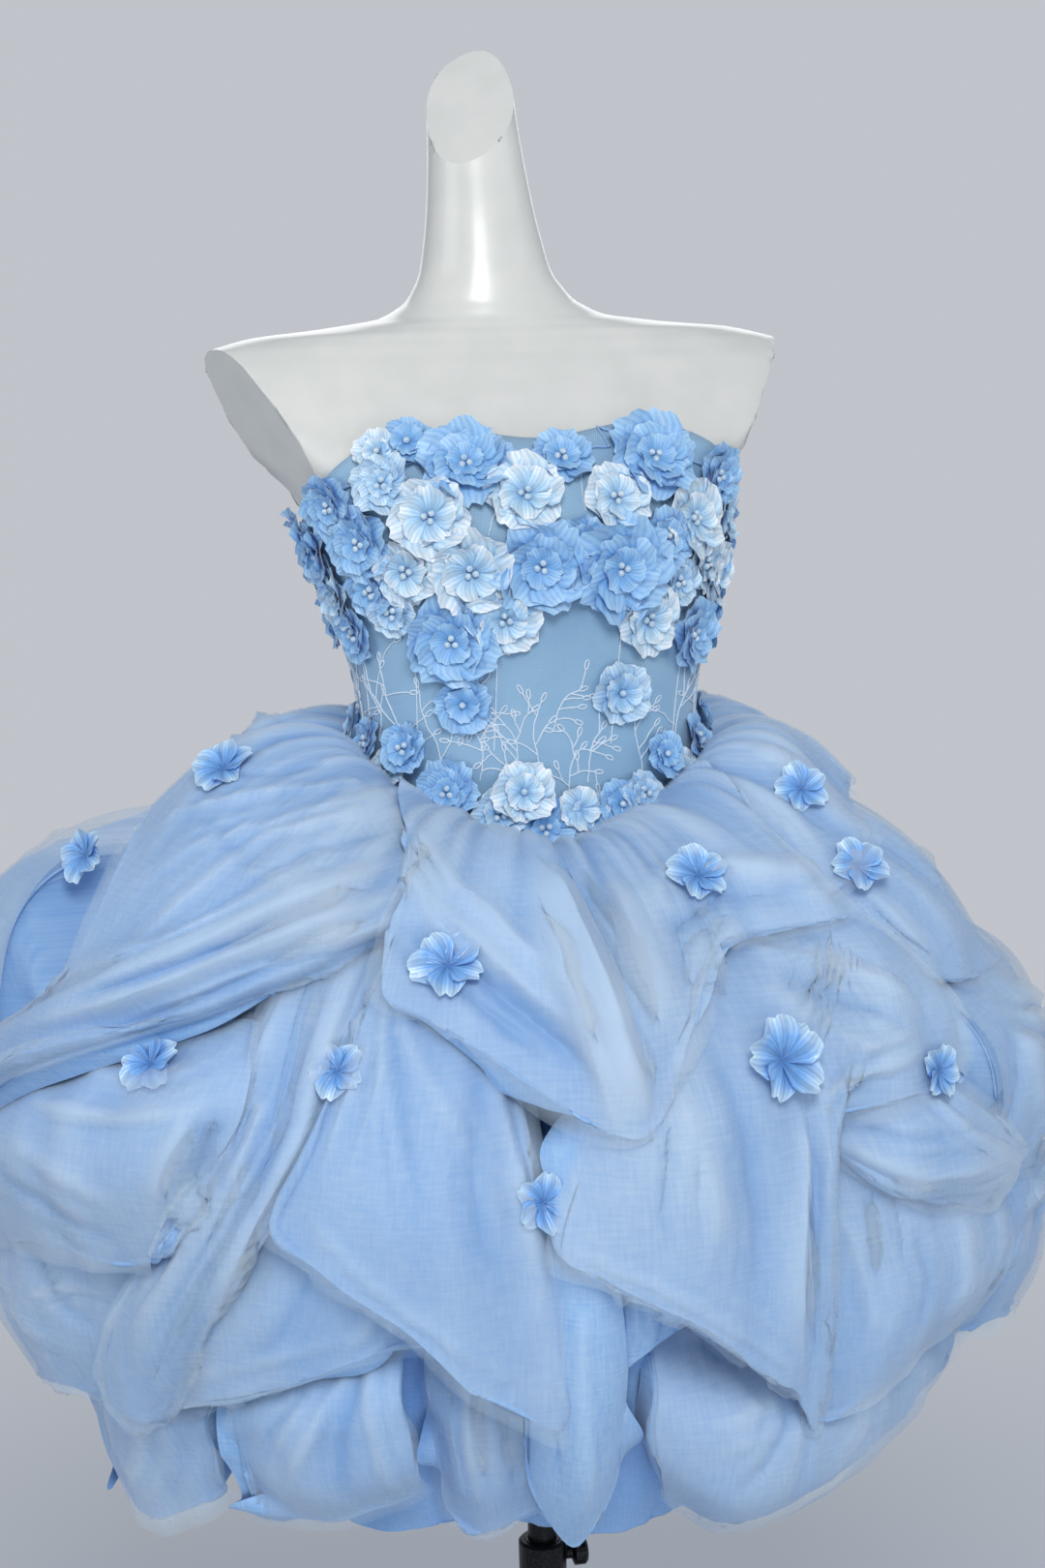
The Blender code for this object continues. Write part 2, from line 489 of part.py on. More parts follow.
# Every swag, puff and ruffle is one panel with a row for each of its folds, from one
# side of the panel to the other. A fold runs from its top through its belly to its
# foot, and each of these is (degrees round, percent down, millimetres out). Panels
# are in the order they are laid, the innermost first.
Fold = namedtuple("Fold", "top belly foot")
SWAGS = {
    "ruffle_left": [
        Fold((-78, 86, 8), (-79, 96, 38), (-80, 105, 56)),
        Fold((-63, 84, 10), (-65, 95, 42), (-66, 103, 56)),
        Fold((-50, 82, 4), (-52, 92, 24), (-54, 99, 32)),
    ],
    "ruffle_mid": [
        Fold((-46, 80, 2), (-46, 90, 24), (-49, 101, 28)),
        Fold((-36, 77, 6), (-36, 88, 34), (-38, 98, 28)),
        Fold((-27, 74, 2), (-25, 83, 26), (-26, 92, 16)),
    ],
    "ruffle_front": [
        Fold((-24, 74, -8), (-23, 86, 0), (-24, 99, 0)),
        Fold((-20, 75, -4), (-20, 88, 14), (-20, 101, 10)),
        Fold((-13, 76, -8), (-13, 88, 2), (-12, 98, 2)),
    ],
    "ruffle_back_left": [
        Fold((-92, 82, 4), (-92, 94, 34), (-92, 105, 46)),
        Fold((-112, 78, 6), (-112, 92, 40), (-112, 105, 36)),
        Fold((-136, 78, 2), (-136, 92, 28), (-136, 104, 18)),
    ],
    "ruffle_back_right": [
        Fold((62, 82, -8), (63, 92, 4), (64, 100, -4)),
        Fold((88, 80, -2), (88, 92, 14), (88, 103, 4)),
        Fold((116, 79, 2), (116, 92, 30), (116, 105, 18)),
        Fold((142, 78, 0), (142, 92, 20), (142, 103, 8)),
    ],
    "ruffle_back": [
        Fold((152, 76, 0), (152, 90, 20), (152, 104, 10)),
        Fold((173, 76, 4), (173, 90, 36), (173, 106, 22)),
        Fold((195, 76, 4), (195, 90, 32), (195, 105, 20)),
        Fold((215, 78, 0), (215, 91, 18), (215, 103, 8)),
    ],
    "veil_left": [
        Fold((-54, 64, 0), (-58, 76, 12), (-64, 88, 22)),
        Fold((-72, 66, 4), (-76, 78, 42), (-80, 89, 48)),
        Fold((-92, 68, 6), (-94, 80, 52), (-96, 91, 58)),
        Fold((-108, 70, 4), (-110, 80, 34), (-110, 90, 40)),
    ],
    "veil_right": [
        Fold((46, 68, 0), (46, 76, 8), (50, 87, 10)),
        Fold((62, 68, 4), (64, 80, 32), (66, 89, 34)),
        Fold((80, 70, 4), (82, 83, 40), (84, 91, 44)),
        Fold((96, 70, 2), (98, 82, 26), (98, 92, 34)),
    ],
    "pocket_right": [
        Fold((-3, 60, -4), (-4, 68, 20), (-4, 77, 16)),
        Fold((2, 61, 0), (2, 67, 26), (1, 73, 20)),
        Fold((8, 62, -4), (8, 67, 14), (7, 71, 10)),
    ],
    "bubble_right": [
        Fold((3, 74, 0), (2, 83, 24), (6, 94, 16)),
        Fold((10, 76, 6), (9, 87, 44), (14, 99, 28)),
        Fold((19, 78, 6), (20, 89, 44), (27, 100, 26)),
        Fold((32, 80, 2), (34, 90, 30), (40, 99, 16)),
        Fold((48, 82, -4), (50, 91, 18), (54, 98, 6)),
    ],
    "front_tail": [
        Fold((-13, 50, -8), (-12, 72, 6), (-12, 91, 8)),
        Fold((-8, 52, -2), (-7, 77, 34), (-7, 99, 26)),
        Fold((-4, 54, -8), (-2, 74, 16), (-2, 90, 12)),
    ],
    "bubble_back_left": [
        Fold((-110, 56, 0), (-111, 68, 48), (-111, 82, 34)),
        Fold((-124, 54, 4), (-125, 67, 60), (-126, 83, 36)),
        Fold((-140, 54, 2), (-140, 67, 48), (-140, 82, 26)),
        Fold((-152, 56, -4), (-152, 67, 26), (-152, 80, 12)),
    ],
    "bubble_back_right": [
        Fold((94, 58, -4), (96, 70, 34), (97, 82, 18)),
        Fold((112, 56, 0), (114, 69, 58), (114, 84, 36)),
        Fold((132, 55, 0), (133, 68, 50), (133, 83, 28)),
        Fold((148, 56, -6), (149, 67, 24), (149, 80, 10)),
    ],
    "gore_back": [
        Fold((152, 36, -24), (157, 60, 28), (154, 80, 18)),
        Fold((166, 34, -18), (170, 58, 54), (168, 84, 40)),
        Fold((182, 34, -18), (184, 58, 62), (186, 87, 46)),
        Fold((197, 35, -18), (198, 58, 50), (201, 83, 36)),
        Fold((209, 37, -24), (207, 60, 28), (210, 79, 16)),
    ],
    "fold_left_under": [
        Fold((-36, 54, -4), (-44, 70, 12), (-56, 86, 24)),
        Fold((-31, 56, 0), (-36, 69, 20), (-40, 80, 24)),
        Fold((-25, 58, -2), (-28, 68, 16), (-27, 74, 18)),
        Fold((-18, 60, -6), (-20, 68, 8), (-19, 73, 8)),
    ],
    "fold_left": [
        Fold((-47, 47, 8), (-48, 64, 24), (-63, 82, 36)),
        Fold((-41, 42, 26), (-41, 60, 42), (-62, 86, 46)),
        Fold((-34, 38, 30), (-37, 59, 46), (-57, 87, 46)),
        Fold((-26, 31, 12), (-33, 56, 32), (-53, 85, 34)),
    ],
    "bubble_left": [
        Fold((-106, 60, 4), (-106, 69, 38), (-104, 77, 20)),
        Fold((-86, 56, 12), (-86, 67, 58), (-86, 76, 36)),
        Fold((-68, 53, 14), (-65, 63, 64), (-67, 72, 40)),
        Fold((-58, 51, 14), (-52, 61, 60), (-56, 71, 38)),
        Fold((-49, 49, 12), (-45, 58, 48), (-49, 69, 28)),
        Fold((-43, 48, 8), (-41, 55, 32), (-46, 65, 12)),
    ],
    "gore_right_low": [
        Fold((19, 58, -2), (17, 69, 20), (19, 82, 24)),
        Fold((27, 60, 10), (23, 69, 32), (21, 83, 36)),
        Fold((34, 62, 16), (28, 72, 44), (25, 82, 40)),
        Fold((42, 65, 16), (36, 74, 42), (33, 81, 34)),
        Fold((50, 68, 10), (46, 76, 34), (43, 81, 24)),
        Fold((60, 69, 0), (58, 77, 16), (54, 82, 8)),
    ],
    "puff_right_low": [
        Fold((100, 54, -16), (98, 66, 20), (97, 78, 4)),
        Fold((82, 52, -16), (80, 66, 28), (79, 77, 12)),
        Fold((64, 50, -8), (62, 62, 34), (62, 73, 18)),
        Fold((48, 50, 2), (47, 59, 32), (48, 69, 16)),
    ],
    "gore_front": [
        Fold((-28, 30, 4), (-31, 51, 32), (-36, 64, 38)),
        Fold((-26, 32, 12), (-27, 56, 44), (-29, 67, 48)),
        Fold((-23, 35, 14), (-22, 57, 48), (-22, 70, 50)),
        Fold((-18, 38, 14), (-16, 59, 44), (-16, 75, 44)),
        Fold((-13, 40, 4), (-11, 59, 24), (-8, 79, 26)),
    ],
    "lip_right": [
        Fold((30, 52, 12), (36, 58, 44), (50, 67, 32)),
        Fold((25, 54, 18), (31, 61, 54), (45, 68, 38)),
        Fold((22, 57, 12), (28, 64, 42), (43, 70, 26)),
    ],
    "puff_back_right": [
        Fold((150, 33, -34), (148, 48, 16), (147, 62, 4)),
        Fold((128, 34, -36), (126, 51, 34), (124, 66, 20)),
        Fold((106, 35, -40), (104, 53, 18), (102, 67, 6)),
        Fold((88, 36, -42), (86, 52, -8), (84, 62, -12)),
    ],
    "puff_right_mid": [
        Fold((86, 26, -40), (82, 42, -30), (80, 56, -14)),
        Fold((68, 24, -24), (68, 42, -6), (66, 54, 0)),
        Fold((54, 22, -4), (55, 40, 20), (54, 52, 14)),
        Fold((44, 22, 4), (43, 38, 26), (44, 49, 20)),
        Fold((35, 24, 4), (35, 36, 20), (37, 46, 12)),
    ],
    "gore_right": [
        Fold((17, 34, 16), (-2, 50, 40), (-8, 63, 44)),
        Fold((20, 36, 24), (2, 53, 58), (-2, 66, 56)),
        Fold((24, 38, 30), (7, 55, 62), (4, 69, 58)),
        Fold((28, 39, 34), (11, 56, 58), (11, 74, 50)),
        Fold((30, 39, 34), (15, 56, 52), (16, 78, 44)),
        Fold((31, 39, 34), (19, 56, 46), (20, 82, 38)),
        Fold((32, 40, 34), (24, 52, 56), (18, 58, 42)),
        Fold((34, 41, 36), (30, 49, 60), (26, 56, 48)),
        Fold((37, 44, 38), (35, 50, 54), (34, 57, 46)),
        Fold((40, 48, 36), (40, 52, 46), (40, 56, 38)),
    ],
    "puff_left_side": [
        Fold((-82, 34, -16), (-85, 45, 52), (-88, 60, 42)),
        Fold((-98, 35, -20), (-101, 48, 74), (-103, 63, 48)),
        Fold((-118, 34, -22), (-120, 48, 64), (-121, 64, 42)),
        Fold((-138, 31, -22), (-138, 46, 46), (-137, 62, 24)),
        Fold((-152, 31, -28), (-151, 44, 14), (-150, 57, 2)),
    ],
    "puff_back_left": [
        Fold((-106, 2, 2), (-109, 18, 8), (-111, 31, -6)),
        Fold((-124, 2, 2), (-125, 19, 20), (-125, 36, 0)),
        Fold((-143, 2, 2), (-141, 19, 18), (-141, 35, -2)),
        Fold((-159, 3, 2), (-155, 18, 6), (-154, 32, -14)),
    ],
    "puff_back_top_right": [
        Fold((158, 3, 2), (152, 18, 6), (150, 33, -26)),
        Fold((140, 2, 2), (135, 19, 20), (134, 38, -12)),
        Fold((120, 2, 2), (114, 19, 18), (112, 38, -18)),
        Fold((102, 2, 2), (96, 18, 6), (94, 34, -30)),
    ],
    "puff_back": [
        Fold((204, 3, 2), (210, 20, 12), (213, 40, -8)),
        Fold((192, 2, 2), (194, 22, 32), (196, 46, 18)),
        Fold((180, 2, 2), (179, 23, 38), (178, 50, 26)),
        Fold((167, 2, 2), (163, 22, 30), (161, 45, 14)),
        Fold((155, 3, 2), (149, 20, 10), (146, 39, -10)),
    ],
    "puff_right_top": [
        Fold((104, 1, 2), (95, 14, 2), (89, 27, -10)),
        Fold((88, 1, 2), (77, 14, 10), (74, 28, -4)),
        Fold((72, 1, 2), (60, 16, 24), (60, 29, 8)),
        Fold((58, 1, 2), (45, 21, 34), (47, 32, 18)),
        Fold((44, 1, 2), (33, 26, 26), (37, 37, 12)),
        Fold((32, 2, 2), (22, 24, 14), (27, 34, 4)),
    ],
    "swag_left": [
        Fold((-108, 1, 2), (-105, 18, 10), (-104, 31, -2)),
        Fold((-92, 1, 2), (-83, 20, 26), (-87, 32, 18)),
        Fold((-78, 1, 2), (-63, 23, 44), (-73, 35, 36)),
        Fold((-65, 1, 2), (-53, 29, 50), (-66, 43, 44)),
        Fold((-50, 3, 4), (-47, 35, 50), (-70, 53, 46)),
        Fold((-32, 20, 18), (-45, 42, 64), (-92, 63, 56)),
        Fold((-25, 31, 26), (-42, 46, 54), (-86, 66, 46)),
        Fold((-26, 32, 10), (-42, 46, 34), (-82, 67, 30)),
    ],
    "swag_front": [
        Fold((-48, 5, 12), (-28, 28, 38), (-27, 43, 40)),
        Fold((-42, 2, 4), (-18, 36, 50), (-18, 46, 50)),
        Fold((-29, 1, 3), (-9, 40, 60), (-10, 50, 56)),
        Fold((-16, 1, 3), (-3, 43, 66), (-2, 54, 62)),
        Fold((-4, 1, 3), (2, 40, 52), (2, 52, 56)),
        Fold((8, 1, 3), (8, 34, 46), (8, 44, 48)),
        Fold((20, 1, 3), (16, 30, 42), (15, 38, 44)),
        Fold((34, 1, 3), (24, 30, 46), (31, 40, 40)),
        Fold((48, 1, 3), (31, 25, 36), (33, 38, 30)),
    ],
}
SEWN_TOPS = {                         # panels whose upper edge lies on the cloth beneath
    "ruffle_left", "ruffle_mid", "ruffle_front", "ruffle_back_left", "ruffle_back_right",
    "ruffle_back", "veil_left", "veil_right", "pocket_right", "bubble_right", "front_tail",
    "fold_left_under",
}
COLUMNS_EACH = 2                      # columns of points from one fold to the next
SWAG_ROWS = 5
CLOTH_GAP = 0.5 * MM                  # air left between one panel and the next
FEELER = 0.14                         # how far out the clearance is felt for, metres
FEELER_STEPS = 9                      # spots felt along each side of a face
STEEPEST = 0.35                       # cosine of the steepest lie that is allowed for
SETTLE_ROUNDS = 16
REST_ROUNDS, REST_GAP = 4, 0.45 * MM
REST_SHARES = (0.0, 0.25, 0.5, 0.75, 1.0)


def fold_grid(folds):
    """Rows of (turn, drop, lift) over a panel, smooth through its folds both ways."""
    columns = COLUMNS_EACH * (len(folds) - 1)
    grid = []
    for row in range(SWAG_ROWS + 1):
        line = [glide(fold, row / SWAG_ROWS) for fold in folds]
        grid.append([glide(line, column / columns) for column in range(columns + 1)])
    return grid


class Knot:
    """One point of a panel: where it stands on the plain skirt, and its lift off it."""

    def __init__(self, turn, drop, lift):
        self.foot = skirt_place(turn, drop)
        self.out = skirt_place(turn, drop, 1) - self.foot
        self.lift = lift

    def place(self):
        return self.foot + self.out * self.lift


def sew_down(knots, laid):
    """Draw a row of knots in until it lies on the cloth beneath it."""
    for knot in knots:
        out = knot.out.normalized()
        reach = laid.ray_cast(knot.place() + out * FEELER, -out, 2 * FEELER)[3]
        if reach is not None:
            knot.lift -= (reach - FEELER - CLOTH_WALL - CLOTH_GAP) / MM


def feel(corners, laid):
    """Raise four knots until the face between them clears the cloth already laid."""
    places = [knot.place() for knot in corners]
    face = (places[3] - places[0]).cross(places[2] - places[1]).normalized()
    moved = 0
    for step in range(FEELER_STEPS ** 2):
        across, down = (share / (FEELER_STEPS - 1) for share in divmod(step, FEELER_STEPS))
        weights = ((1 - across) * (1 - down), across * (1 - down),
                   (1 - across) * down, across * down)
        spot = sum((place * weight for place, weight in zip(places, weights)), Vector())
        out = sum((knot.out * weight for knot, weight in zip(corners, weights)), Vector())
        out.normalize()
        _, facing, _, reach = laid.ray_cast(spot + out * FEELER, -out, 2 * FEELER)
        if reach is None:
            continue
        slope = max(min(abs(facing.dot(out)), abs(face.dot(out))), STEEPEST)
        short = ((CLOTH_WALL + CLOTH_GAP) / slope + FEELER - reach) / MM
        if short > 0:
            moved = max(moved, short)
            for knot, weight in zip(corners, weights):
                knot.lift += short * weight / max(weights)
            places = [knot.place() for knot in corners]
    return moved


def settle(knots, laid):
    """Raise a panel, face by face, until all of it is clear of the cloth laid so far,
    then let the whole of it down to rest on that cloth."""
    for _ in range(SETTLE_ROUNDS):
        moved = 0
        for row, after in zip(knots, knots[1:]):
            for k in range(len(row) - 1):
                moved = max(moved, feel((row[k], row[k + 1], after[k], after[k + 1]), laid))
        if moved == 0:
            break
    for _ in range(REST_ROUNDS):
        gap = min(laid.find_nearest(spot)[3] for spot in spots_of(knots)) - CLOTH_WALL
        for knot in (knot for row in knots for knot in row):
            knot.lift -= max(gap - REST_GAP, 0) / MM


def spots_of(knots):
    """Points all over a panel, four to each side of a face."""
    for row, after in zip(knots, knots[1:]):
        for k in range(len(row) - 1):
            high, low = (row[k].place(), row[k + 1].place()), (after[k].place(), after[k + 1].place())
            for across in REST_SHARES:
                top, foot = high[0].lerp(high[1], across), low[0].lerp(low[1], across)
                yield from (top.lerp(foot, down) for down in REST_SHARES)


def build_swags(carriage, underskirt):
    """Lay the panels one over the other, each settled clear of those beneath it."""
    laid = bmesh.new()
    laid.from_mesh(underskirt.data)
    for name, folds in SWAGS.items():
        knots = [[Knot(*spot) for spot in row] for row in fold_grid(folds)]
        beneath = BVHTree.FromBMesh(laid)
        if name in SEWN_TOPS:
            sew_down(knots[0], beneath)
        settle(knots, beneath)
        bm, _ = loft([[knot.place() for knot in row] for row in reversed(knots)],
                     closed_round=False)
        if folds[0].belly[0] > folds[-1].belly[0]:
            bmesh.ops.reverse_faces(bm, faces=bm.faces)
        piece = add_piece(name, bm, "organza", carriage, CLOTH_WALL)
        laid.from_mesh(piece.data)
    return laid


# ---------------------------------------------------------------------- flowers
# Sewn-on flowers of one cut piece each: degrees round from centre front, where they
# stand (metres up on the bodice, percent down on the skirt), the reach of a petal in
# millimetres and how far the flower is spun.
Flower = namedtuple("Flower", "turn at reach spin")
BODICE_FLOWERS = {
    "flower_neck_left": Flower(-16.5, 1.269, 22, 10),
    "flower_left": Flower(-30.5, 1.236, 22, 40),
    "flower_neck_right": Flower(25.0, 1.267, 22, -12),
    "flower_front": Flower(-3.5, 1.203, 24, 30),
    "flower_front_right": Flower(16.0, 1.198, 22, 0),
    "flower_low_left": Flower(-29.5, 1.152, 24, 18),
}
SKIRT_FLOWERS = {
    "flower_swag_left": Flower(-64.4, 27.6, 21, 15),
    "flower_swag_front": Flower(-20.3, 40.1, 24, 35),
    "flower_puff_right": Flower(43.6, 26.2, 18, 20),
    "flower_gore_right": Flower(15.7, 49.8, 30, 5),
}
PETALS = 5
PETAL_OUTLINE = [(-36, 0.64), (-18, 0.98), (18, 0.98)]   # degrees aside, share of reach
FLOWER_CUP = 4.0 * MM                 # how far the petals' tips stand up
FLOWER_WALL = 1.2 * MM
SEAT_GAP = 0.4 * MM                   # under the lowest spot of a flower
SEAT_SHARES = (0.0, 0.35, 0.7, 1.0)   # where a flower is felt, from its middle outward


def petal_offsets(flower):
    """Outline of a flower as (across, up) from its middle in metres, clockwise."""
    offsets = []
    for petal in range(PETALS):
        for aside, share in PETAL_OUTLINE:
            angle = math.radians(360 / PETALS * petal + aside + flower.spin)
            reach = flower.reach * share * MM
            offsets.append((math.sin(angle) * reach, math.cos(angle) * reach))
    return offsets


def bodice_at(turn, height, out):
    """Point off the bodice's outer face at a height in metres."""
    low = read_off(WAIST_SEAM, abs(turn)) + SEAM_GAP
    high = read_off(NECKLINE, abs(turn))
    return bodice_place(turn, (height - low) / (high - low), out)


def add_flower(name, middle, rim, out, under, carriage):
    """One flower, slid along out until it lies just clear of what is under it."""
    nearest = math.inf
    for here, after in zip(rim, rim[1:] + rim[:1]):
        for edge in (here, (here + after) / 2):
            for share in SEAT_SHARES:
                spot = middle.lerp(edge, share)
                reach = under.ray_cast(spot + out * FEELER, -out)[3]
                nearest = min(nearest, math.inf if reach is None else reach - FEELER)
    shift = out * (SEAT_GAP + FLOWER_WALL - nearest)
    bm = bmesh.new()
    hub = bm.verts.new(middle + shift)
    ring = [bm.verts.new(place + shift) for place in rim]
    for here, after in zip(ring, ring[1:] + ring[:1]):
        bm.faces.new((hub, after, here))
    add_piece(name, bm, "petal", carriage, FLOWER_WALL)


def build_bodice_flowers(carriage, bodice_front):
    """Flowers that follow the bodice's curve."""
    under = BVHTree.FromPolygons([v.co for v in bodice_front.data.vertices],
                                 [face.vertices for face in bodice_front.data.polygons])
    for name, flower in BODICE_FLOWERS.items():
        middle = bodice_at(flower.turn, flower.at, 0)
        degree = (bodice_at(flower.turn + 1, flower.at, 0) - middle).length
        rim = [bodice_at(flower.turn + across / degree, flower.at + up, FLOWER_CUP)
               for across, up in petal_offsets(flower)]
        out = (bodice_at(flower.turn, flower.at, 1 * MM) - middle).normalized()
        add_flower(name, middle, rim, out, under, carriage)


def build_skirt_flowers(carriage, laid):
    """Flowers that lie flat on the swag they are sewn to."""
    under = BVHTree.FromBMesh(laid)
    for name, flower in SKIRT_FLOWERS.items():
        knot = Knot(flower.turn, flower.at, 0)
        out = knot.out.normalized()
        middle, facing, _, _ = under.ray_cast(knot.foot + out * FEELER, -out)
        upward = (Vector((0, 0, 1)) - facing * facing.z).normalized()
        aside = upward.cross(facing)
        rim = [middle + aside * across + upward * up + facing * FLOWER_CUP
               for across, up in petal_offsets(flower)]
        add_flower(name, middle, rim, facing, under, carriage)


def main():
    for old in list(bpy.data.objects):
        bpy.data.objects.remove(old)
    carriage = add_empty("stand_height", (0, 0, 0))
    build_stand(carriage)
    build_form(carriage)
    bodice_front = build_bodice(carriage)
    build_zip(carriage)
    build_bodice_flowers(carriage, bodice_front)
    underskirt = build_underskirt(carriage)
    laid = build_swags(carriage, underskirt)
    build_skirt_flowers(carriage, laid)


main()
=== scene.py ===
# %% [markdown]
# # A homecoming dress on its dress form
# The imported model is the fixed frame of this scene. Its parts keep their size and
# place; this script gives them their cloth, their flowers and their finish.

# %% [markdown]
# ## The frame
# Whatever is built here sits on those solids, so that the dress stays the right size.

# %% Load the frame
import json
import math
import random
from collections import namedtuple

import bmesh
import bpy
import numpy as np
from mathutils import Matrix, Quaternion, Vector, noise
from mathutils.bvhtree import BVHTree


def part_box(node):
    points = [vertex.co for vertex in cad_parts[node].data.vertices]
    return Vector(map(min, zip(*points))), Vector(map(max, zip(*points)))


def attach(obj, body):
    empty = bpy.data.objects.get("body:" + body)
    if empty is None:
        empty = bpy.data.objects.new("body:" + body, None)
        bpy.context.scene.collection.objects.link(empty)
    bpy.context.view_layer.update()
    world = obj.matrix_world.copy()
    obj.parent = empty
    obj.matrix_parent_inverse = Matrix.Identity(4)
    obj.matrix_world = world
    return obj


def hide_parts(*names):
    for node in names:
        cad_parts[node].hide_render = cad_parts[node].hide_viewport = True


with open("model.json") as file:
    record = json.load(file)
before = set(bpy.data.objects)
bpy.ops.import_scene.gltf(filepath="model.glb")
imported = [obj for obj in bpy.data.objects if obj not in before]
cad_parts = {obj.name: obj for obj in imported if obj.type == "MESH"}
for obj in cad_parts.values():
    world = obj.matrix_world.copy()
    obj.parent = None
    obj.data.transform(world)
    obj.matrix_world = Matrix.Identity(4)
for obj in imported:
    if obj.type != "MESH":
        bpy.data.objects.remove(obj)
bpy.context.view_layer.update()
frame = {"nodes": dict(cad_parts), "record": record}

NODES = frame["nodes"]
MM = 0.001
print("parts in the frame:", len(NODES))

# %% [markdown]
# ## The camera
# The camera looks a little down on the dress, from its left and from under two metres
# away, and it is tilted by a degree or so. A camera in Blender looks along its own -Z,
# so it is aimed by turning -Z onto the line of sight, and the tilt is a turn about Z.

# %% Camera
AZIMUTH, ELEVATION, TILT = map(math.radians, (-12.0, 10.0, 1.5))
TARGET, DISTANCE = Vector((0, 0, 1.03)), 1.90
SENSOR, LENS = 36.0, 59.1          # millimetres, along the picture's longer side

sight = Vector((math.sin(AZIMUTH) * math.cos(ELEVATION),
                -math.cos(AZIMUTH) * math.cos(ELEVATION), math.sin(ELEVATION)))
camera_data = bpy.data.cameras.new("camera")
camera_data.sensor_width, camera_data.lens = SENSOR, LENS
camera = bpy.data.objects.new("camera", camera_data)
bpy.context.scene.collection.objects.link(camera)
camera.location = TARGET + sight * DISTANCE
camera.rotation_mode = "QUATERNION"
camera.rotation_quaternion = ((-sight).to_track_quat("-Z", "Y")
                              @ Quaternion((0, 0, 1), -TILT))
bpy.context.scene.camera = camera
bpy.context.scene.view_settings.view_transform = "Standard"
print("camera", [round(c, 3) for c in camera.location])

# %% [markdown]
# ## Materials
# Every finish is a node tree round one Principled shader. A few helpers keep the
# trees short: one adds a node and sets its sockets, one lays a ramp of colours over a
# value, one feeds the shader a colour and a bump, and one gives small hard parts a fine
# uneven grain.

# %% Node helpers
def new_material(name, colour, roughness, **sockets):
    """A material with a Principled shader; sockets are set by their names."""
    material = bpy.data.materials.new(name)
    material.use_nodes = True
    shader = material.node_tree.nodes["Principled BSDF"]
    shader.inputs["Base Color"].default_value = (*colour, 1)
    shader.inputs["Roughness"].default_value = roughness
    for socket, value in sockets.items():
        shader.inputs[socket.replace("_", " ")].default_value = value
    return material, shader


def add_node(material, kind, feeds=None, **sockets):
    """A new node with its sockets set; feeds maps input names to output sockets."""
    node = material.node_tree.nodes.new(kind)
    for socket, value in sockets.items():
        node.inputs[socket.replace("_", " ")].default_value = value
    for socket, source in (feeds or {}).items():
        material.node_tree.links.new(source, node.inputs[socket])
    return node


def ramp_of(material, factor, *stops):
    """A colour ramp over factor; each stop is (place, colour)."""
    ramp = add_node(material, "ShaderNodeValToRGB", {"Fac": factor})
    while len(ramp.color_ramp.elements) < len(stops):
        ramp.color_ramp.elements.new(0.5)
    for element, (place, colour) in zip(ramp.color_ramp.elements, stops):
        element.position = place
        element.color = (*colour, 1)
    return ramp.outputs["Color"]


def math_node(material, operation, first, second=0.0):
    """A Math node on one or two sockets or numbers."""
    node = add_node(material, "ShaderNodeMath")
    node.operation = operation
    for socket, value in zip(node.inputs, (first, second)):
        if isinstance(value, (int, float)):
            socket.default_value = value
        else:
            material.node_tree.links.new(value, socket)
    return node.outputs[0]


def feed_shader(material, shader, colour, height, strength, depth):
    """Link a colour to the shader, and a bump made from a height, depth metres deep."""
    link = material.node_tree.links.new
    link(colour, shader.inputs["Base Color"])
    raised = add_node(material, "ShaderNodeBump", {"Height": height}, Strength=strength,
                      Distance=depth)
    link(raised.outputs["Normal"], shader.inputs["Normal"])


def noise_node(material, scale, detail=2.0):
    """A noise over the object's own coordinates, which are metres."""
    place = add_node(material, "ShaderNodeTexCoord").outputs["Object"]
    return add_node(material, "ShaderNodeTexNoise", {"Vector": place}, Scale=scale,
                    Detail=detail).outputs["Fac"]


def speckle(material, shader, size, dark, pale, bump=0.0):
    """A fine uneven grain in two colours, size metres across."""
    grain = noise_node(material, 1 / size, 4.0)
    feed_shader(material, shader, ramp_of(material, grain, (0.35, dark), (0.65, pale)), grain,
                bump, 0.2 * MM)


# %% [markdown]
# ## Threads that run round and down
# Woven cloth shows its threads along two ways. On a skirt they run round the body and
# down it, so the weave is laid out by the angle round the stand and by the height. The
# angle times a fixed radius gives metres, and a wave texture draws a thread per pitch.

# %% Coordinates that follow the body
GIRTH_RADIUS = 0.33                   # metres per radian round the widest skirt


def body_coordinates(material, radius=GIRTH_RADIUS):
    """Nodes for a cloth's own plane: metres round the body, and height."""
    place = add_node(material, "ShaderNodeTexCoord").outputs["Object"]
    part = add_node(material, "ShaderNodeSeparateXYZ", {"Vector": place}).outputs
    turn = math_node(material, "ARCTAN2", part["X"], part["Y"])
    across = math_node(material, "MULTIPLY", turn, radius)
    joined = add_node(material, "ShaderNodeCombineXYZ", {"X": across, "Y": part["Z"]})
    return place, joined.outputs["Vector"]


def threads(material, flat, pitch, stretch):
    """Fine uneven threads that run along one way of the cloth."""
    spaced = add_node(material, "ShaderNodeMapping", {"Vector": flat})
    spaced.inputs["Scale"].default_value = (stretch[0] / pitch, stretch[1] / pitch, 1)
    return add_node(material, "ShaderNodeTexNoise", {"Vector": spaced.outputs["Vector"]},
                    Scale=1.0, Detail=2.0).outputs["Fac"]
